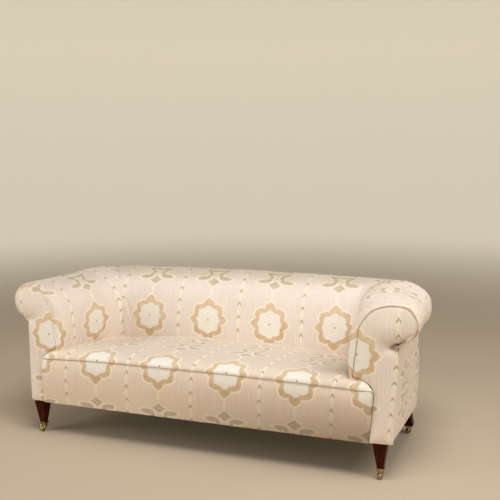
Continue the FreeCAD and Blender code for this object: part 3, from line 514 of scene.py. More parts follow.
# Sections as (d, z): d is the distance in from the outside plane. They run from behind the seat, up the inner
# face, over the roll and down under it to the crease.
ARM = [(.150, .318), (.160, .365), (.170, .405), (.179, .450), (.184, .500), (.183, .555), (.172, .612), (.147, .662),
       (.107, .700), (.057, .7205), (.006, .7245), (-.040, .7105), (-.073, .679), (-.0865, .636), (-.0815, .596),
       (-.059, .568), (-.030, .5575), (-.010, .562), (.006, .578)]
BACK = [(.205, .318), (.214, .365), (.218, .405), (.216, .450), (.209, .500), (.197, .555), (.178, .612), (.148, .662),
        (.107, .700), (.057, .7205), (.006, .7245), (-.040, .7105), (-.073, .679), (-.0865, .636), (-.0815, .596),
        (-.059, .568), (-.030, .5575), (-.010, .562), (.006, .578)]
# outline of the front edge of an arm, point for point
EDGE = [(.150, .318), (.155, .365), (.158, .405), (.1535, .450), (.147, .500), (.1395, .555), (.1285, .618), (.1075, .668),
        (.0755, .7045), (.040, .718), (.005, .7215), (-.036, .7085), (-.0625, .686), (-.071, .654), (-.066, .623),
        (-.051, .600), (-.0285, .5835), (-.0115, .573), (.002, .580)]
# the left arm's section just behind its front edge: slimmer under the roll
FRONT_L = ARM[:8] + [(.107, .705), (.057, .727), (.006, .731), (-.038, .7165), (-.066, .691), (-.0745, .656), (-.069, .622),
                     (-.053, .598), (-.030, .5815), (-.012, .572), (.004, .582)]
# the right arm is stuffed fuller: its front edge, its section just behind, and what its middle gains over ARM
EDGE_R = EDGE[:6] + [(.1319, .6314), (.107, .674), (.072, .7085), (.0225, .7269), (-.012, .7304), (-.0513, .7272),
                     (-.080, .709), (-.100, .671), (-.0985, .636), (-.082, .608), (-.050, .582), (-.026, .564), (-.006, .575)]
FRONT_R = ARM[:5] + [(.184, .555), (.1775, .6125), (.1575, .6635), (.1205, .7040), (.064, .7275), (.006, .738), (-.050, .7365),
                     (-.086, .7145), (-.107, .672), (-.105, .632), (-.087, .602), (-.052, .5755), (-.027, .562), (-.002, .577)]
FULL = np.zeros((19, 2))
FULL[5:13] = [(.008, 0), (.028, .002), (.056, .006), (.076, .011), (.074, .018), (.046, .019), (.018, .012), (0, .005)]
INNER = [(.030, .560), (.052, .500), (.066, .430), (.085, .360), (.118, .325)]   # hidden way back, inside the padding
NP_ = 66
T_, LEN_ = even(ARM, NP_)


def fillet(d):
    """Plan radius of the corner at a distance in from the outside."""
    return 0.21 - d + 0.10 * ss(0.03, 0.19, d)


def where(d, y):
    return SIDE_X - d, y


def corner(d, q):
    r = fillet(d)
    return SIDE_X - d - r + r * np.cos(q), BACK_Y - d - r + r * np.sin(q)


def toward_core(p, by):
    """Moves section points in towards the middle of the roll."""
    core = np.array([0.055, 0.610])
    v = core - p
    n = np.linalg.norm(v, axis=1)[:, None]
    return p + v / np.maximum(n, 1e-6) * np.broadcast_to(by, len(p))[:, None]


def section(w, along=1.0):
    """Section of the roll: w = 0 on the arm and 1 on the back; along is 0 at the arm's front and 1 at its rear."""
    w = np.broadcast_to(w, NP_)[:, None]
    p = catmull(ARM, T_) * (1 - w) + catmull(BACK, T_) * w
    out = p[:, 0] < 0
    p[out, 0] *= 1 - 0.22 * along
    return p


GAIN = catmull(np.array(ARM) + FULL, T_) - catmull(ARM, T_)
LOSS = catmull(FRONT_L, T_) - catmull(ARM, T_)
ZS_ = catmull(ARM, T_)[:, 1]
# angle of the mitre between arm and back at each point of the section; on the left it lies further back, on the right further out
MITRE = {1: np.full(NP_, math.pi / 4 - 0.30), -1: math.pi / 4 + 0.11 + 0.13 * ss(0.50, 0.72, ZS_)}


def straight(side, f):
    """Section of an arm's straight run: f is 0 at its front and 1 at its rear."""
    if side < 0:
        return section(0.0, float(ss(0, 0.8, f))) + LOSS * (1 - float(ss(0.05, 0.75, f)))
    rear = section(0.0, 1.0) + GAIN
    front = catmull(FRONT_R, T_)
    i = np.arange(NP_)
    crest = ss(T_[0] + 8.5, T_[0] + 11.0, T_)
    w = float(ss(0, 0.78, f)) * (1 - crest) + float(ss(0, 0.9, f)) * crest
    return front + (rear - front) * w[:, None]


def groove(dist, depth, width):
    return depth * np.exp(-(dist / width) ** 2)


def loop_with_inner(p):
    """The section closed through the padding."""
    return np.vstack([p, np.array(INNER)])


def arm_rows(side):
    """Stations of an arm from the front edge to the mitre; each is (x, y, z) points and cloth coordinates."""
    rows, cloth = [], []
    P = straight(side, 0.0)
    Q = catmull(EDGE_R if side > 0 else EDGE, T_)
    v_arm = arc_len(P)
    v_arm = v_arm - np.interp(0.522 if side > 0 else 0.487, P[:30, 1], v_arm[:30])
    gap = np.linalg.norm(P - Q, axis=1)
    depth = 0.008 + 0.85 * gap
    n_f, n_s, n_c = 10, 58, 14
    rows.append((toward_core(Q, 0.004), FRONT_Y + 0.044, None))       # turned in behind the facing
    for k in range(n_f - 1):
        a = k / (n_f - 2) * math.pi / 2
        s = Q + (P - Q) * math.sin(a)
        y = FRONT_Y + depth * (1 - math.cos(a))
        rows.append((s, y, None))
    for k in range(1, n_s):
        f = k / (n_s - 1)
        f = 0.4 * f + 0.6 * f * f
        s = straight(side, f)
        if side > 0:
            # shallow gathers parallel to the scroll
            e = f * 0.45
            s = toward_core(s, 0.0014 * (1 - np.cos(2 * math.pi * (e + 0.05 * ZS_) / 0.015)) * math.exp(-(e / 0.075) ** 2)
                            * ss(7.5, 9.0, T_) * (1 - ss(15.0, 16.5, T_)))
        rows.append((s, None, f))
    out, uvs = [], []
    last = None
    u = np.zeros(NP_)
    for s, y, f in rows:
        if f is not None:
            d = s[:, 0]
            y1 = BACK_Y - d - fillet(d)
            y = (FRONT_Y + depth) * (1 - f) + y1 * f
        x = SIDE_X - s[:, 0]
        p = np.stack([x, np.broadcast_to(y, NP_), s[:, 1]], 1)
        if last is not None:
            u = u + np.linalg.norm(p - last, axis=1)
        last = p
        out.append(p)
        uvs.append(np.stack([u + 0.0, v_arm], 1))
    for k in range(1, n_c):
        q = k / (n_c - 1) * MITRE[side]
        s = section(ss(0, math.pi / 2, q))
        if side > 0:
            s = s + GAIN
        s = toward_core(s, groove((MITRE[side] - q) * 0.14, 0.0055, 0.014))
        x, y = corner(s[:, 0], q)
        p = np.stack([x, y, s[:, 1]], 1)
        u = u + np.linalg.norm(p - last, axis=1)
        last = p
        out.append(p)
        uvs.append(np.stack([u + 0.0, v_arm], 1))
    start = uvs[1][:, 0].copy()
    for a in uvs:
        a[:, 0] -= start
        if side > 0:
            a[:, 0] += 0.010
        else:
            a[:, 0] += np.interp(a[:, 0], [0, .15, .315, .47, .6], [.029, .029, -.010, -.028, -.030])
    inner_rows = []
    for k, p in enumerate(out):
        dd = np.array(INNER)
        if k < n_f + n_s - 1:
            yy = np.full(len(dd), p[:, 1].mean()) if k < n_f else np.interp(
                np.linspace(0, 1, len(dd)), [0, 1], [p[-1, 1], p[0, 1]])
            q = np.stack([SIDE_X - dd[:, 0], yy, dd[:, 1]], 1)
        else:
            a = (k - (n_f + n_s - 2)) / (n_c - 1) * math.pi / 4
            x, y = corner(dd[:, 0], a)
            q = np.stack([x, y, dd[:, 1]], 1)
        inner_rows.append(q)
    return out, uvs, inner_rows


def settle(p):
    """Where a hand-upholstered shell has settled: the crest drops a little at the corners and at one end."""
    q = np.array(p)
    up = ss(0.40, 0.70, q[:, 2])
    rear = np.interp(q[:, 0], [-.95, -.70, -.40, 0, .40, .75, .95], [-.025, -.021, -.010, -.004, -.007, -.012, -.012])
    front = np.interp(q[:, 0], [-.95, -.65, .65, .95], [-.018, -.015, 0, 0])
    wf = ss(0.10, -0.37, q[:, 1])
    q[:, 2] += up * (rear * (1 - wf) + front * wf)
    q[:, 0] += 0.015 * ss(0.50, 0.62, p[:, 2]) * ss(-0.86, -0.94, p[:, 0])
    return q


def build_shell(name, rows, uvs, inner, mat, ends, flip_x=False, amp=0.0022, seed=1):
    n = NP_ + len(INNER)
    P = np.array([np.vstack([a, b]) for a, b in zip(rows, inner)])
    R = P.shape[0]
    UV = np.array([np.vstack([a, np.zeros((len(INNER), 2))]) for a in uvs])
    # unevenness along the normal of the outer face
    dr = np.gradient(P[:, :NP_], axis=0)
    dc = np.gradient(P[:, :NP_], axis=1)
    nrm = np.cross(dr, dc)
    nrm /= np.maximum(np.linalg.norm(nrm, axis=2)[..., None], 1e-9)
    for r in range(R):
        for c in range(NP_):
            p = P[r, c]
            k = amp * (wob(p, 7.0, seed) + 0.5 * wob(p, 16.0, seed + 3))
            P[r, c] = p + nrm[r, c] * k
    flat = P.reshape(-1, 3)
    if flip_x:
        flat = flat * np.array([-1, 1, 1])
    flat = settle(flat)
    faces = grid_faces(R, n, True)
    faces.append(tuple(range(n)))
    faces.append(tuple((R - 1) * n + c for c in range(n)))
    ob = make(name, flat, faces, UV.reshape(-1, 2), mat, sharp=60, close=True)
    held = np.zeros((R, n))
    held[:, NP_:] = 1
    held[:, :5] = held[:, NP_ - 3:NP_] = 1
    held[:ends[0]] = held[R - ends[1]:] = 1
    held[ends[0]:ends[0] + 3] = np.maximum(held[ends[0]:ends[0] + 3], 0.3)
    relax(ob, held.ravel(), 3.0, 0.005)
    return ob


for side, tag in ((1, "right"), (-1, "left")):
    rows, uvs, inner = arm_rows(side)
    ob = build_shell("inside_arm_%s" % tag, rows, uvs, inner, MAT["arm_right" if side > 0 else "arm"], (7, 3), side < 0, seed=2 + side)
    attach(ob, "sofa")
    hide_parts("inside_arm_cover_%s" % tag, "arm_stuffing_%s" % tag)


def back_rows():
    n_c, n_s = 14, 70
    rows, inner, uvs = [], [], []
    v0 = arc_len(section(1.0))
    v = v0 - np.interp(0.488, section(1.0)[:30, 1], v0[:30])
    dd = np.array(INNER)
    half = {1: [], -1: []}
    for side in (1, -1):
        for k in range(n_c):
            g = k / (n_c - 1)
            q = MITRE[side] + g * (math.pi / 2 - MITRE[side])
            s = section(ss(0, math.pi / 2, q))
            if side > 0:
                s = s + GAIN * 0.92 * float(1 - ss(0, 1, g))
            s = toward_core(s, groove((q - MITRE[side]) * 0.14, 0.0055, 0.014))
            x, y = corner(s[:, 0], q)
            r = fillet(s[:, 0])
            u = SIDE_X - s[:, 0] - r + r * (math.pi / 2 - q)
            xi, yi = corner(dd[:, 0], math.pi / 4 + g * math.pi / 4)
            lift = 0.015 * ss(.25, .65, u) if side > 0 else 0.0
            half[side].append((np.stack([x, y, s[:, 1]], 1), np.stack([u, v - lift], 1), np.stack([xi, yi, dd[:, 1]], 1)))
    S = section(1.0)
    mid = []
    for k in range(1, n_s):
        f = 1 - 2 * k / n_s
        xe = SIDE_X - S[:, 0] - fillet(S[:, 0])
        xi = SIDE_X - dd[:, 0] - fillet(dd[:, 0])
        p = np.stack([xe * f, BACK_Y - S[:, 0], S[:, 1]], 1)
        mid.append((p, np.stack([xe * f, v - 0.015 * ss(.25, .65, xe * f)], 1), np.stack([xi * f, BACK_Y - dd[:, 0], dd[:, 1]], 1)))
    m = np.array([-1, 1, 1])
    mirrored = [(a * m, b * np.array([-1, 1]), c * m) for a, b, c in half[-1][::-1]]
    allr = half[1] + mid + mirrored
    return [a[0] for a in allr], [a[1] for a in allr], [a[2] for a in allr]


rows, uvs, inner = back_rows()
ob = build_shell("inside_back", rows, uvs, inner, MAT["back"], (3, 3), seed=9)
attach(ob, "sofa")
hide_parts("inside_back_cover", "back_stuffing")

# ------------------------------------------------------------------- facings
# Outline of a facing as the inner and outer x at each height.
IN_C = {1: [(.7740, .160), (.7750, .200), (.7815, .250), (.7875, .320), (.7890, .362), (.7835, .384), (.7640, .4055),
            (.736, .413), (.7035, .411), (.7005, .437), (.708, .500), (.7155, .555), (.7251, .6314), (.750, .674),
            (.785, .7085), (.8345, .7269), (.869, .7304)],
        -1: [(.7790, .160), (.7790, .200), (.7780, .250), (.7785, .320), (.7765, .358), (.7720, .372), (.7480, .392),
             (.725, .3980), (.7010, .3990), (.6990, .428), (.708, .500), (.7155, .555), (.7265, .618), (.7475, .668),
             (.7795, .7045), (.815, .718), (.8437, .722)]}
LOW_C = {1: [(.8665, .160), (.8705, .250), (.8775, .400), (.8835, .500), (.8845, .546)], -1: [(.8535, .160), (.8545, .548)]}
SCROLL_L = [(.8590, .5540), (.8690, .5720), (.8855, .5835), (.9080, .6000), (.9230, .6230), (.9280, .6540), (.9195, .6860),
            (.8930, .7085), (.8660, .7190), (.8437, .7220)]
SCROLL_R = [(.8800, .5605), (.8963, .5751), (.9254, .5951), (.9493, .6221), (.9593, .6552), (.9529, .6845), (.9329, .7127),
            (.9083, .7272), (.869, .7304)]


def facing_outline(side):
    inn = catmull(IN_C[side], even(IN_C[side], 200)[0])
    scroll = SCROLL_R if side > 0 else SCROLL_L
    turn = catmull(scroll, even(scroll, 80)[0])
    turn[:, 1] = np.maximum.accumulate(turn[:, 1] + np.arange(80) * 1e-7)
    return inn, np.array(LOW_C[side] + [tuple(p) for p in turn])


def build_facing(side, tag):
    inn, out = facing_outline(side)
    top = .7304 if side > 0 else .722
    zs = np.unique(np.concatenate([np.linspace(.160, .535, 48), np.linspace(.535, .585, 40), np.linspace(.585, top, 44)]))
    zi = inn[:, 1]
    verts, uv = [], []
    cols = 30
    edge = np.vstack([inn, out[::-1]])
    for z in zs:
        x0 = np.interp(z, zi, inn[:, 0])
        x1 = np.interp(z, out[:, 1], out[:, 0])
        for c in range(cols):
            f = c / (cols - 1)
            f = 0.5 - 0.5 * math.cos(math.pi * f)
            verts.append([x0 + (x1 - x0) * f, 0, z])
    V = np.array(verts)
    seg = np.vstack([edge, edge[:1]])
    dist = np.full(len(V), 1e9)
    for a, b in zip(seg[:-1], seg[1:]):
        ab = b - a
        t = np.clip(((V[:, [0, 2]] - a) @ ab) / max(ab @ ab, 1e-12), 0, 1)
        dist = np.minimum(dist, np.linalg.norm(V[:, [0, 2]] - a - t[:, None] * ab, axis=1))
    bulge = 0.010 * (1 - np.exp(-dist / 0.020))
    # fold running in from where the scroll turns back under
    fx, fz = V[:, 0], V[:, 2]
    px, pz = (0.8735, 0.5625) if side > 0 else (0.861, 0.560)
    line = fz - (pz - 0.004 + (px - fx) * 0.06)
    fade = ss(px - 0.100, px + 0.002, fx)
    bulge += (0.010 if side > 0 else 0.006) * np.exp(-((fx - 0.842) ** 2 + (fz - 0.632) ** 2) / 0.055 ** 2)
    pull = 0.011 * np.exp(-(line / (0.009 + 0.05 * (1 - fade))) ** 2) * fade
    pull += (0.024 if side > 0 else 0.010) * np.exp(-((fx - px) ** 2 + (fz - pz) ** 2) / (0.020 if side > 0 else 0.017) ** 2)
    if side > 0:
        # the scroll's underside draws in towards the pinch
        far = np.array([0.932, 0.606]) - (px, pz)
        h = np.clip(((fx - px) * far[0] + (fz - pz) * far[1]) / (far @ far), 0, 1)
        off = np.hypot(fx - px - h * far[0], fz - pz - h * far[1])
        pull += 0.019 * np.exp(-(off / 0.012) ** 2) * (1 - 0.65 * h)
    pull *= 1 - np.exp(-(dist / (0.0055 if side > 0 else 0.010)) ** 1.5)
    bulge -= 0.034 * np.tanh(pull / 0.034)
    # the outer edge turns back softly to meet the outside cover
    turn_r = 0.016
    low = np.array(LOW_C[side])
    xo = np.interp(fz, low[:, 1], low[:, 0])
    near = np.clip(1 - (xo - fx) / turn_r, 0, 1) * (1 - (ss(0.530, 0.552, fz) if side > 0 else ss(0.540, 0.558, fz)))
    bulge -= turn_r * (1 - np.sqrt(np.maximum(0, 1 - near ** 2)))
    for k, p in enumerate(V):
        bulge[k] += 0.0012 * wob((p[0], side, p[2]), 12.0, 5)
    V[:, 1] = -0.3745 - bulge
    hem = np.clip(1 - (fz - .160) / .022, 0, 1)
    for k in np.nonzero(hem > 0)[0]:
        V[k, 2] += 0.0024 * wob((V[k, 0], side, 0), 60.0, 37) * hem[k]
        V[k, 1] += 0.0016 * wob((V[k, 0], side, 1), 80.0, 39) * hem[k]
    R = len(zs)
    n = len(V)
    back = V.copy()
    back[:, 1] = np.maximum(-0.3705, V[:, 1] + 0.002)
    if side < 0:
        # thicker at the crease, so that no gap opens against the outside cover
        back[:, 1] += np.maximum(0, -0.348 - back[:, 1]) * np.exp(-((fz - 0.552) / 0.020) ** 4) * ss(0.842, 0.850, fx)
    faces = grid_faces(R, cols)
    faces += [tuple(k + n for k in f[::-1]) for f in faces]
    rim = ([r * cols for r in range(R)] + [(R - 1) * cols + c for c in range(1, cols)]
           + [r * cols + cols - 1 for r in range(R - 2, -1, -1)] + [c for c in range(cols - 2, 0, -1)])
    for a, b in zip(rim, rim[1:] + rim[:1]):
        faces.append((a, b, b + n, a + n))
    W = np.vstack([V, back])
    # the cloth is laid so that a band runs over the scroll and down the outer edge
    wx, wz = W[:, 0], W[:, 2]
    if side > 0:
        at = np.interp(wz, [.160, .500, .560, .58], [.848, .8775, .881, .886])
        uu = np.where(wx < .80, wx - .718, .082 + (wx - .80) * (.1575 - .082) / (at - .80))
    else:
        uu = np.where(wx < .80, wx - .732, .068 + (wx - .80) * (.1575 - .068) / .075)
    uv = np.stack([uu, wz - (0.5225 if side > 0 else 0.490)], 1)
    if side < 0:
        W = W * np.array([-1, 1, 1])
    W = settle(W)
    ob = make("arm_facing_%s" % tag, W, faces, uv, MAT["facing_%s" % tag], sharp=55, close=True)
    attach(ob, "sofa")
    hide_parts("facing_%s" % tag)
    # piping round the scroll
    path = ([(x, z) for x, z in inn if z > (0.418 if side > 0 else 0.409)]
            + [tuple(p) for p in out[::-1] if p[1] > (0.5615 if side > 0 else 0.556)])
    path = np.array(path)
    t = even(path, 110)[0]
    path = catmull(path, t)
    P = np.stack([path[:, 0], np.full(len(path), -0.3768), path[:, 1]], 1)
    P[-6:, 1] += np.linspace(0, 0.006, 6)
    if side < 0:
        P = P * np.array([-1, 1, 1])
    P = settle(P)
    pp = tube("arm_piping_%s" % tag, P, 0.0016, 10, MAT["piping_%s" % tag])
    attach(pp, "sofa")
    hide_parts("facing_piping_%s" % tag)


for side, tag in ((1, "right"), (-1, "left")):
    build_facing(side, tag)

# ---------------------------------------------------------------------- seat
PIPE_Z = lambda x: 0.389 - np.where(np.asarray(x) < 0, 0.0172, 0.013) * (np.abs(x) / 0.77) ** 2.2 + 0.004 * ss(0.2, 0.77, x)
PIPE_Y = lambda x: -0.3985 + 0.010 * ss(0.745, 0.787, np.abs(x) + np.where(np.asarray(x) < 0, .011, 0.0)) + 0.0012 * np.sin(x * 9.0)
# top of the seat's corners
LIP = {1: ([.690, .704, .7335, .7615, .7810, .7865], [.4290, .4288, .4205, .4055, .3835, .3665]),
       -1: ([.6675, .6900, .7045, .7240, .7458, .7620, .7755], [.4285, .4255, .4205, .4080, .3935, .3820, .3690])}
END = {1: .7865, -1: .7755}
GRAIN = 0.085          # the cloth of seat and border lies a little askew
SEAT = [(-.4005, .389), (-.3982, .401), (-.389, .413), (-.375, .422), (-.345, .429), (-.290, .433), (-.200, .4345),
        (-.100, .433), (0.0, .427), (.070, .418), (.115, .407), (.140, .392)]


def build_seat():
    n_y, n_x = 64, 176
    S = catmull(SEAT, even(SEAT, n_y)[0])
    v = arc_len(S)
    xs = np.concatenate([np.linspace(-END[-1], -.668, 19)[:-1], np.linspace(-.668, .668, n_x - 36), np.linspace(.668, END[1], 19)[1:]])
    V = np.zeros((n_y, len(xs), 3))
    for r in range(n_y):
        y, z = S[r]
        front = 1 - float(ss(-.3985, -.372, y))
        for c, x in enumerate(xs):
            ax = abs(x)
            base = PIPE_Z(x)
            rise = z - .389
            zz = base + rise - 0.030 * float(ss(.22, .70, ax)) * float(ss(-.36, -.02, y))
            lip = LIP[1 if x > 0 else -1]
            if ax > lip[0][0]:
                zz = min(zz, base + (np.interp(ax, *lip) - base) * min(1.0, rise / .030))
            zz -= (0.010 if x < 0 else 0.022) * float(ss(.652, .692, ax)) * float(ss(-.374, -.340, y))
            yy = y + (PIPE_Y(x) + .3985) * front
            if ax > .695:
                yy = min(yy, -0.3700)
            V[r, c] = (x, yy, zz)
    keep = np.ones((n_y - 1, len(xs) - 1), bool)
    for r in range(n_y - 1):
        for c in range(len(xs) - 1):
            if abs((xs[c] + xs[c + 1]) / 2) > .694 and S[r + 1, 0] > -.3700:
                keep[r, c] = False
    for p in V.reshape(-1, 3):
        p[2] += 0.0020 * wob(p, 6.0, 21) * ss(-.395, -.36, p[1])
    faces = [f for f, k in zip(grid_faces(n_y, len(xs)), keep.ravel()) if k]
    uv = np.zeros((n_y, len(xs), 2))
    uv[..., 0] = V[..., 0] - GRAIN * v[:, None]
    uv[..., 1] = v[:, None]
    me = bpy.data.meshes.new("seat_cushion")
    me.from_pydata([tuple(p) for p in V.reshape(-1, 3)], [], faces)
    layer = me.uv_layers.new(name="cloth")
    loops = np.zeros(len(me.loops), int)
    me.loops.foreach_get("vertex_index", loops)
    layer.data.foreach_set("uv", uv.reshape(-1, 2)[loops].ravel())
    bm = bmesh.new()
    bm.from_mesh(me)
    loose = [p for p in bm.verts if not p.link_faces]
    bmesh.ops.delete(bm, geom=loose, context="VERTS")
    rim = [e for e in bm.edges if e.is_boundary]
    new = bmesh.ops.extrude_edge_only(bm, edges=rim)["geom"]
    low = [g for g in new if isinstance(g, bmesh.types.BMVert)]
    for p in low:
        wing = abs(p.co.x) > .70 and p.co.y < -.36
        p.co.z = min(p.co.z, float(PIPE_Z(p.co.x))) - 0.006 if wing else 0.345
        p.co.y = max(p.co.y, -0.378 if wing else -0.392)
        if wing:
            p.co.x *= 0.988
    ring = [g for g in new if isinstance(g, bmesh.types.BMEdge) and g.is_boundary]
    bmesh.ops.triangle_fill(bm, edges=ring, use_beauty=True)
    bmesh.ops.recalc_face_normals(bm, faces=bm.faces)
    for f in bm.faces:
        f.smooth = True
    bm.to_mesh(me)
    bm.free()
    me.set_sharp_from_angle(angle=rad(58))
    me.materials.append(MAT["seat"])
    ob = bpy.data.objects.new("seat_cushion", me)
    scene.collection.objects.link(ob)
    co = np.array([q.co for q in me.vertices])
    held = np.zeros(len(co))
    held[(co[:, 2] < .372) | (np.abs(co[:, 0]) > .660) | (co[:, 1] > .118) | (co[:, 1] < -.392)] = 1
    relax(ob, held, 3.0, 0.005)
    return ob


ob = build_seat()
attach(ob, "sofa")
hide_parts("seat_cover", "seat_stuffing")

# border below the piping: a belly that draws in towards the floor
BELLY = [(0, -.3740), (1, -.3825), (2, -.3900), (3, -.3965), (4, -.4017), (5, -.4050), (6, -.4056), (7, -.4015)]
cols, rws = 220, 34
verts, uv = [], []
for r in range(rws):
    f = r / (rws - 1)
    for c in range(cols):
        g = -1 + 2 * c / (cols - 1)
        g = math.copysign(1 - (1 - abs(g)) ** 1.15, g)
        top = float(PIPE_Z(g * END[1 if g > 0 else -1]))
        z = .156 + (top - 0.002 - .156) * f
        if g > 0:
            x = g * np.interp(z, [.156, .200, .250, .320, .362, .39], [.7710, .7725, .7790, .7850, .7865, .7865])
            q0 = np.interp(z, [.156, .39], [.752, .762])
        else:
            x = g * np.interp(z, [.156, .200, .250, .320, .362, .39], [.7780, .7780, .7770, .7775, .7755, .7755])
            q0 = np.interp(z, [.156, .39], [.757, .751])
        y = catmull(BELLY, [f * 7])[0][1]
        q = np.clip((abs(x) - q0) / .024, 0, 1)
        y += (-.3740 - y) * (1 - math.sqrt(max(0.0, 1 - q ** 2.4)))
        y += 0.0012 * wob((x, 0, z), 8.0, 31) * math.sin(math.pi * f)
        hem = max(0.0, 1 - f / .12)
        z += 0.0022 * wob((x, 0, 0), 38.0, 33) * hem
        y += 0.0016 * wob((x, 0, 0), 55.0, 35) * hem
        verts.append((x, y, z))
        uv.append((x - GRAIN * (z - top), z - top))
V = np.array(verts)
back = V.copy()
back[:, 1] = np.maximum(-0.3660, V[:, 1] + 0.004)
back[:, 2] = np.maximum(back[:, 2], .159)
n = len(V)
faces = grid_faces(rws, cols)
faces += [tuple(k + n for k in f[::-1]) for f in faces]
rim = ([r * cols for r in range(rws)] + [(rws - 1) * cols + c for c in range(1, cols)]
       + [r * cols + cols - 1 for r in range(rws - 2, -1, -1)] + [c for c in range(cols - 2, 0, -1)])
for a, b in zip(rim, rim[1:] + rim[:1]):
    faces.append((a, b, b + n, a + n))
ob = make("front_border", np.vstack([V, back]), faces, uv + uv, MAT["border"], sharp=55, close=True)
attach(ob, "sofa")
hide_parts("front_border_cover")

xs = np.linspace(-.7745, .7855, 180)
path = [(x, PIPE_Y(x) - .0042, float(PIPE_Z(x)) + .0003) for x in xs]
ob = tube("seat_edge_piping", path, 0.0014, 10, MAT["piping"])
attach(ob, "sofa")
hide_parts("seat_piping")


# ------------------------------------------------------------ outside covers
def sheet_piece(name, rows, uv, mat, flat, node):
    R, C = len(rows), len(rows[0])
    V = np.array(rows).reshape(-1, 3)
    ob = make(name, V, grid_faces(R, C), np.array(uv).reshape(-1, 2), mat, sharp=60)
    sol = ob.modifiers.new("thick", "SOLIDIFY")
    sol.thickness = 0.0022
    sol.offset = -1.0
    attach(ob, "sofa")
    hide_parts(node)
    return ob


def outside_point(d, s, z):
    """A point of the outside at path length s from the front of the right arm to the middle of the back."""
    r = .210 - d
    L1 = (BACK_Y - d - r) - FRONT_Y
    if s <= L1:
        return (SIDE_X - d, FRONT_Y + s, z)
    q = (s - L1) / .210
    if q <= math.pi / 2:
        x, y = SIDE_X - d - r + r * math.cos(q), BACK_Y - d - r + r * math.sin(q)
        return (x, y, z)
    return (SIDE_X - d - r - (s - L1 - .210 * math.pi / 2), BACK_Y - d, z)


L_STRAIGHT = BACK_Y - .210 - FRONT_Y
S_MITRE = L_STRAIGHT + .210 * math.pi / 4
S_END = L_STRAIGHT + .210 * math.pi / 2 + (SIDE_X - .210)


def outside_grid(s0, s1, n, mirror, lean=False):
    rows, uv = [], []
    zs = np.linspace(.158, .561, 34)
    for z in zs:
        row, ur = [], []
        for k in range(n):
            s = s0 + (s1 - s0) * k / (n - 1)
            f = (z - .158) / (.561 - .158)
            e = min(1.0, (s - s0) / .05, (s1 - s) / .05)
            d = .0010 - .010 * math.sin(math.pi * min(1, max(0, f))) ** 0.7 * ss(0, 1, min(1.0, (s - s0) / .16, (s1 - s) / .05 + (.4 if s1 > S_MITRE else 0)))
            d += 0.008 * ss(0.04, 0.0, f)
            if lean:
                d -= (0.010 + 0.018 * f * (1 - ss(0, .40, s))) * (1 - ss(.46, .625, s))
            p = outside_point(d, s, z - 0.005 * ss(.80, 1, f) * (1 - ss(.02, .06, s)))
            k2 = 0.0012 * wob(p, 7.0, 41)
            row.append((p[0] * (-1 if mirror else 1), p[1] + k2 * 0.3, p[2]))
            ur.append((s, z))
        rows.append(row)
        uv.append(ur)
    return rows, uv


for mirror, tag in ((False, "right"), (True, "left")):
    rows, uv = outside_grid(.0125, S_MITRE - .0006, 64, mirror, not mirror)
    if mirror:
        rows = [r[::-1] for r in rows]
        uv = [r[::-1] for r in uv]
    sheet_piece("outside_arm_%s" % tag, rows, uv, MAT["outside"], (round(S_MITRE + .04, 3), .46),
                "outside_arm_cover_%s" % tag)
ra, ua = outside_grid(S_MITRE + .0006, S_END, 70, False)
rows, uv = [], []
for a, b in zip(ra, ua):
    rows.append(a + [(-p[0], p[1], p[2]) for p in a[-2::-1]])
    uv.append([(q[0] - S_END, q[1]) for q in b] + [(S_END - q[0], q[1]) for q in b[-2::-1]])
sheet_piece("outside_back", rows, uv, MAT["outside"], (round(2 * (S_END - S_MITRE) + .04, 3), .46),
            "outside_back_cover")


# ---------------------------------------------------------------------- legs
def leg(name, node, foot, head, z0, z1, c0, c1):
    """A square tapered leg with eased edges."""
    bm = bmesh.new()
    vs = []
    for z, h, c in ((z0, foot / 2, c0), (z1, head / 2, c1)):
        vs.append([bm.verts.new((c[0] + sx * h, c[1] + sy * h, z)) for sx, sy in ((-1, -1), (1, -1), (1, 1), (-1, 1))])
    bm.faces.new(vs[0][::-1])
    bm.faces.new(vs[1])
    for k in range(4):
        bm.faces.new((vs[0][k], vs[0][(k + 1) % 4], vs[1][(k + 1) % 4], vs[1][k]))
    edges = [e for e in bm.edges if abs(e.verts[0].co.z - e.verts[1].co.z) > 0.01]
    bmesh.ops.bevel(bm, geom=edges, offset=0.0022, segments=3, profile=0.6, affect="EDGES")
    bmesh.ops.recalc_face_normals(bm, faces=bm.faces)
    for f in bm.faces:
        f.smooth = True
    me = bpy.data.meshes.new(name)
    bm.to_mesh(me)
    bm.free()
    me.set_sharp_from_angle(angle=rad(35))
    me.materials.append(MAT["mahogany"])
    ob = bpy.data.objects.new(name, me)
    scene.collection.objects.link(ob)
    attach(ob, "sofa")
    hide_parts(node)


for sx, tag in ((1, "right"), (-1, "left")):
    leg("leg_front_%s" % tag, "front_leg_%s" % tag, .0241, .062, .0372, .168, (sx * .812, -.336), (sx * .812, -.336))
    leg("leg_rear_%s" % tag, "rear_leg_%s" % tag, .043, .050, .0372, .168, (sx * .812, .238), (sx * .797, .186))

# ------------------------------------------- finishes of what shows of the CAD
slot_of = {p["node"]: p["material_slot"] for p in frame["record"]["subparts"]}
for name, o in frame["nodes"].items():
    if o.hide_render:
        continue
    s = slot_of.get(name, "beech")
    o.data.materials.clear()
    o.data.materials.append(MAT.get(s, MAT["back"]))

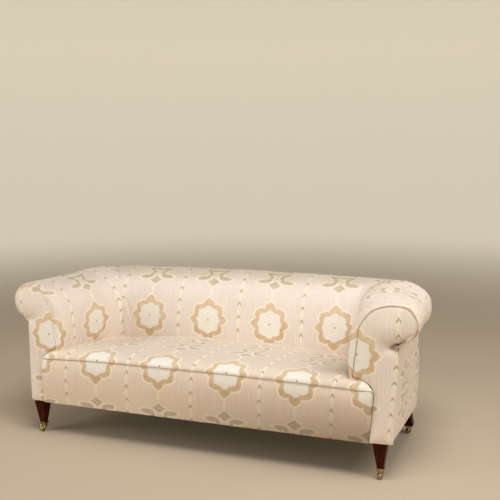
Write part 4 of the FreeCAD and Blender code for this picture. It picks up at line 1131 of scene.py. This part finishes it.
# --------------------------------------------------------------- stage, light
# a round pale floor that curves up into a softly lit wall, well outside every view
bm = bmesh.new()
prof = [(2.0, 0.0), (4.5, 0.0), (7.0, 0.0)] + [(7.0 + 2.5 * math.sin(q), 2.5 - 2.5 * math.cos(q)) for q in np.linspace(0.1, math.pi / 2, 14)] + [(9.5, 5.0)]
SPOKES = 72
mid_v = bm.verts.new((0, 0, 0))
vv = [[bm.verts.new((r * math.cos(q), r * math.sin(q), z)) for r, z in prof] for q in np.linspace(0, 2 * math.pi, SPOKES + 1)[:-1]]
for s in range(SPOKES):
    a, b = vv[s], vv[(s + 1) % SPOKES]
    bm.faces.new((mid_v, a[0], b[0]))
    for k in range(len(prof) - 1):
        bm.faces.new((a[k], a[k + 1], b[k + 1], b[k]))
for f in bm.faces:
    f.smooth = True
me = bpy.data.meshes.new("stage_floor")
bm.to_mesh(me)
bm.free()
floor = bpy.data.objects.new("stage_floor", me)
scene.collection.objects.link(floor)
fm, fb = new_material("stage_pale", 0.75, 0.2)
tc = tree.nodes.new("ShaderNodeTexCoord")
sp = tree.nodes.new("ShaderNodeSeparateXYZ")
tree.links.new(tc.outputs["Object"], sp.inputs[0])
rr = esqrt(E(sp.outputs[0]) * E(sp.outputs[0]) + E(sp.outputs[1]) * E(sp.outputs[1]))
rise = step(rr, 5.0, 2.6)
tree.links.new(mix(rise, lin(206, 199, 184), lin(200, 183, 160)).s, fb.inputs["Base Color"])
fb.inputs["Emission Color"].default_value = lin(224, 215, 196)
tree.links.new(((1.0 - rise) * 0.54).s, fb.inputs["Emission Strength"])
me.materials.append(fm)

world = bpy.data.worlds.new("world")
scene.world = world
world.use_nodes = True
bg = world.node_tree.nodes["Background"]
bg.inputs[0].default_value = (1.0, 0.985, 0.96, 1.0)
bg.inputs[1].default_value = 0.05


def area(name, at, to, size, power, colour):
    d = bpy.data.lights.new(name, "AREA")
    d.shape = "RECTANGLE"
    d.size, d.size_y = size
    d.energy = power
    d.color = colour
    o = bpy.data.objects.new(name, d)
    scene.collection.objects.link(o)
    o.location = at
    o.rotation_euler = (Vector(to) - Vector(at)).to_track_quat("-Z", "Y").to_euler()


area("left", (-3.206, -2.690, 1.81), (0, 0, .45), (2.2, 1.8), 52, (1.0, .985, .97))
area("right", (1.185, -1.692, 4.335), (0, 0, .45), (2.2, 1.8), 126, (1.0, .985, .97))
area("side", (3.358, -.294, 3.278), (0, 0, .45), (2.2, 1.8), 55, (1.0, .985, .97))
scene.view_settings.view_transform = "Standard"

print("cloth runs", RELAX)
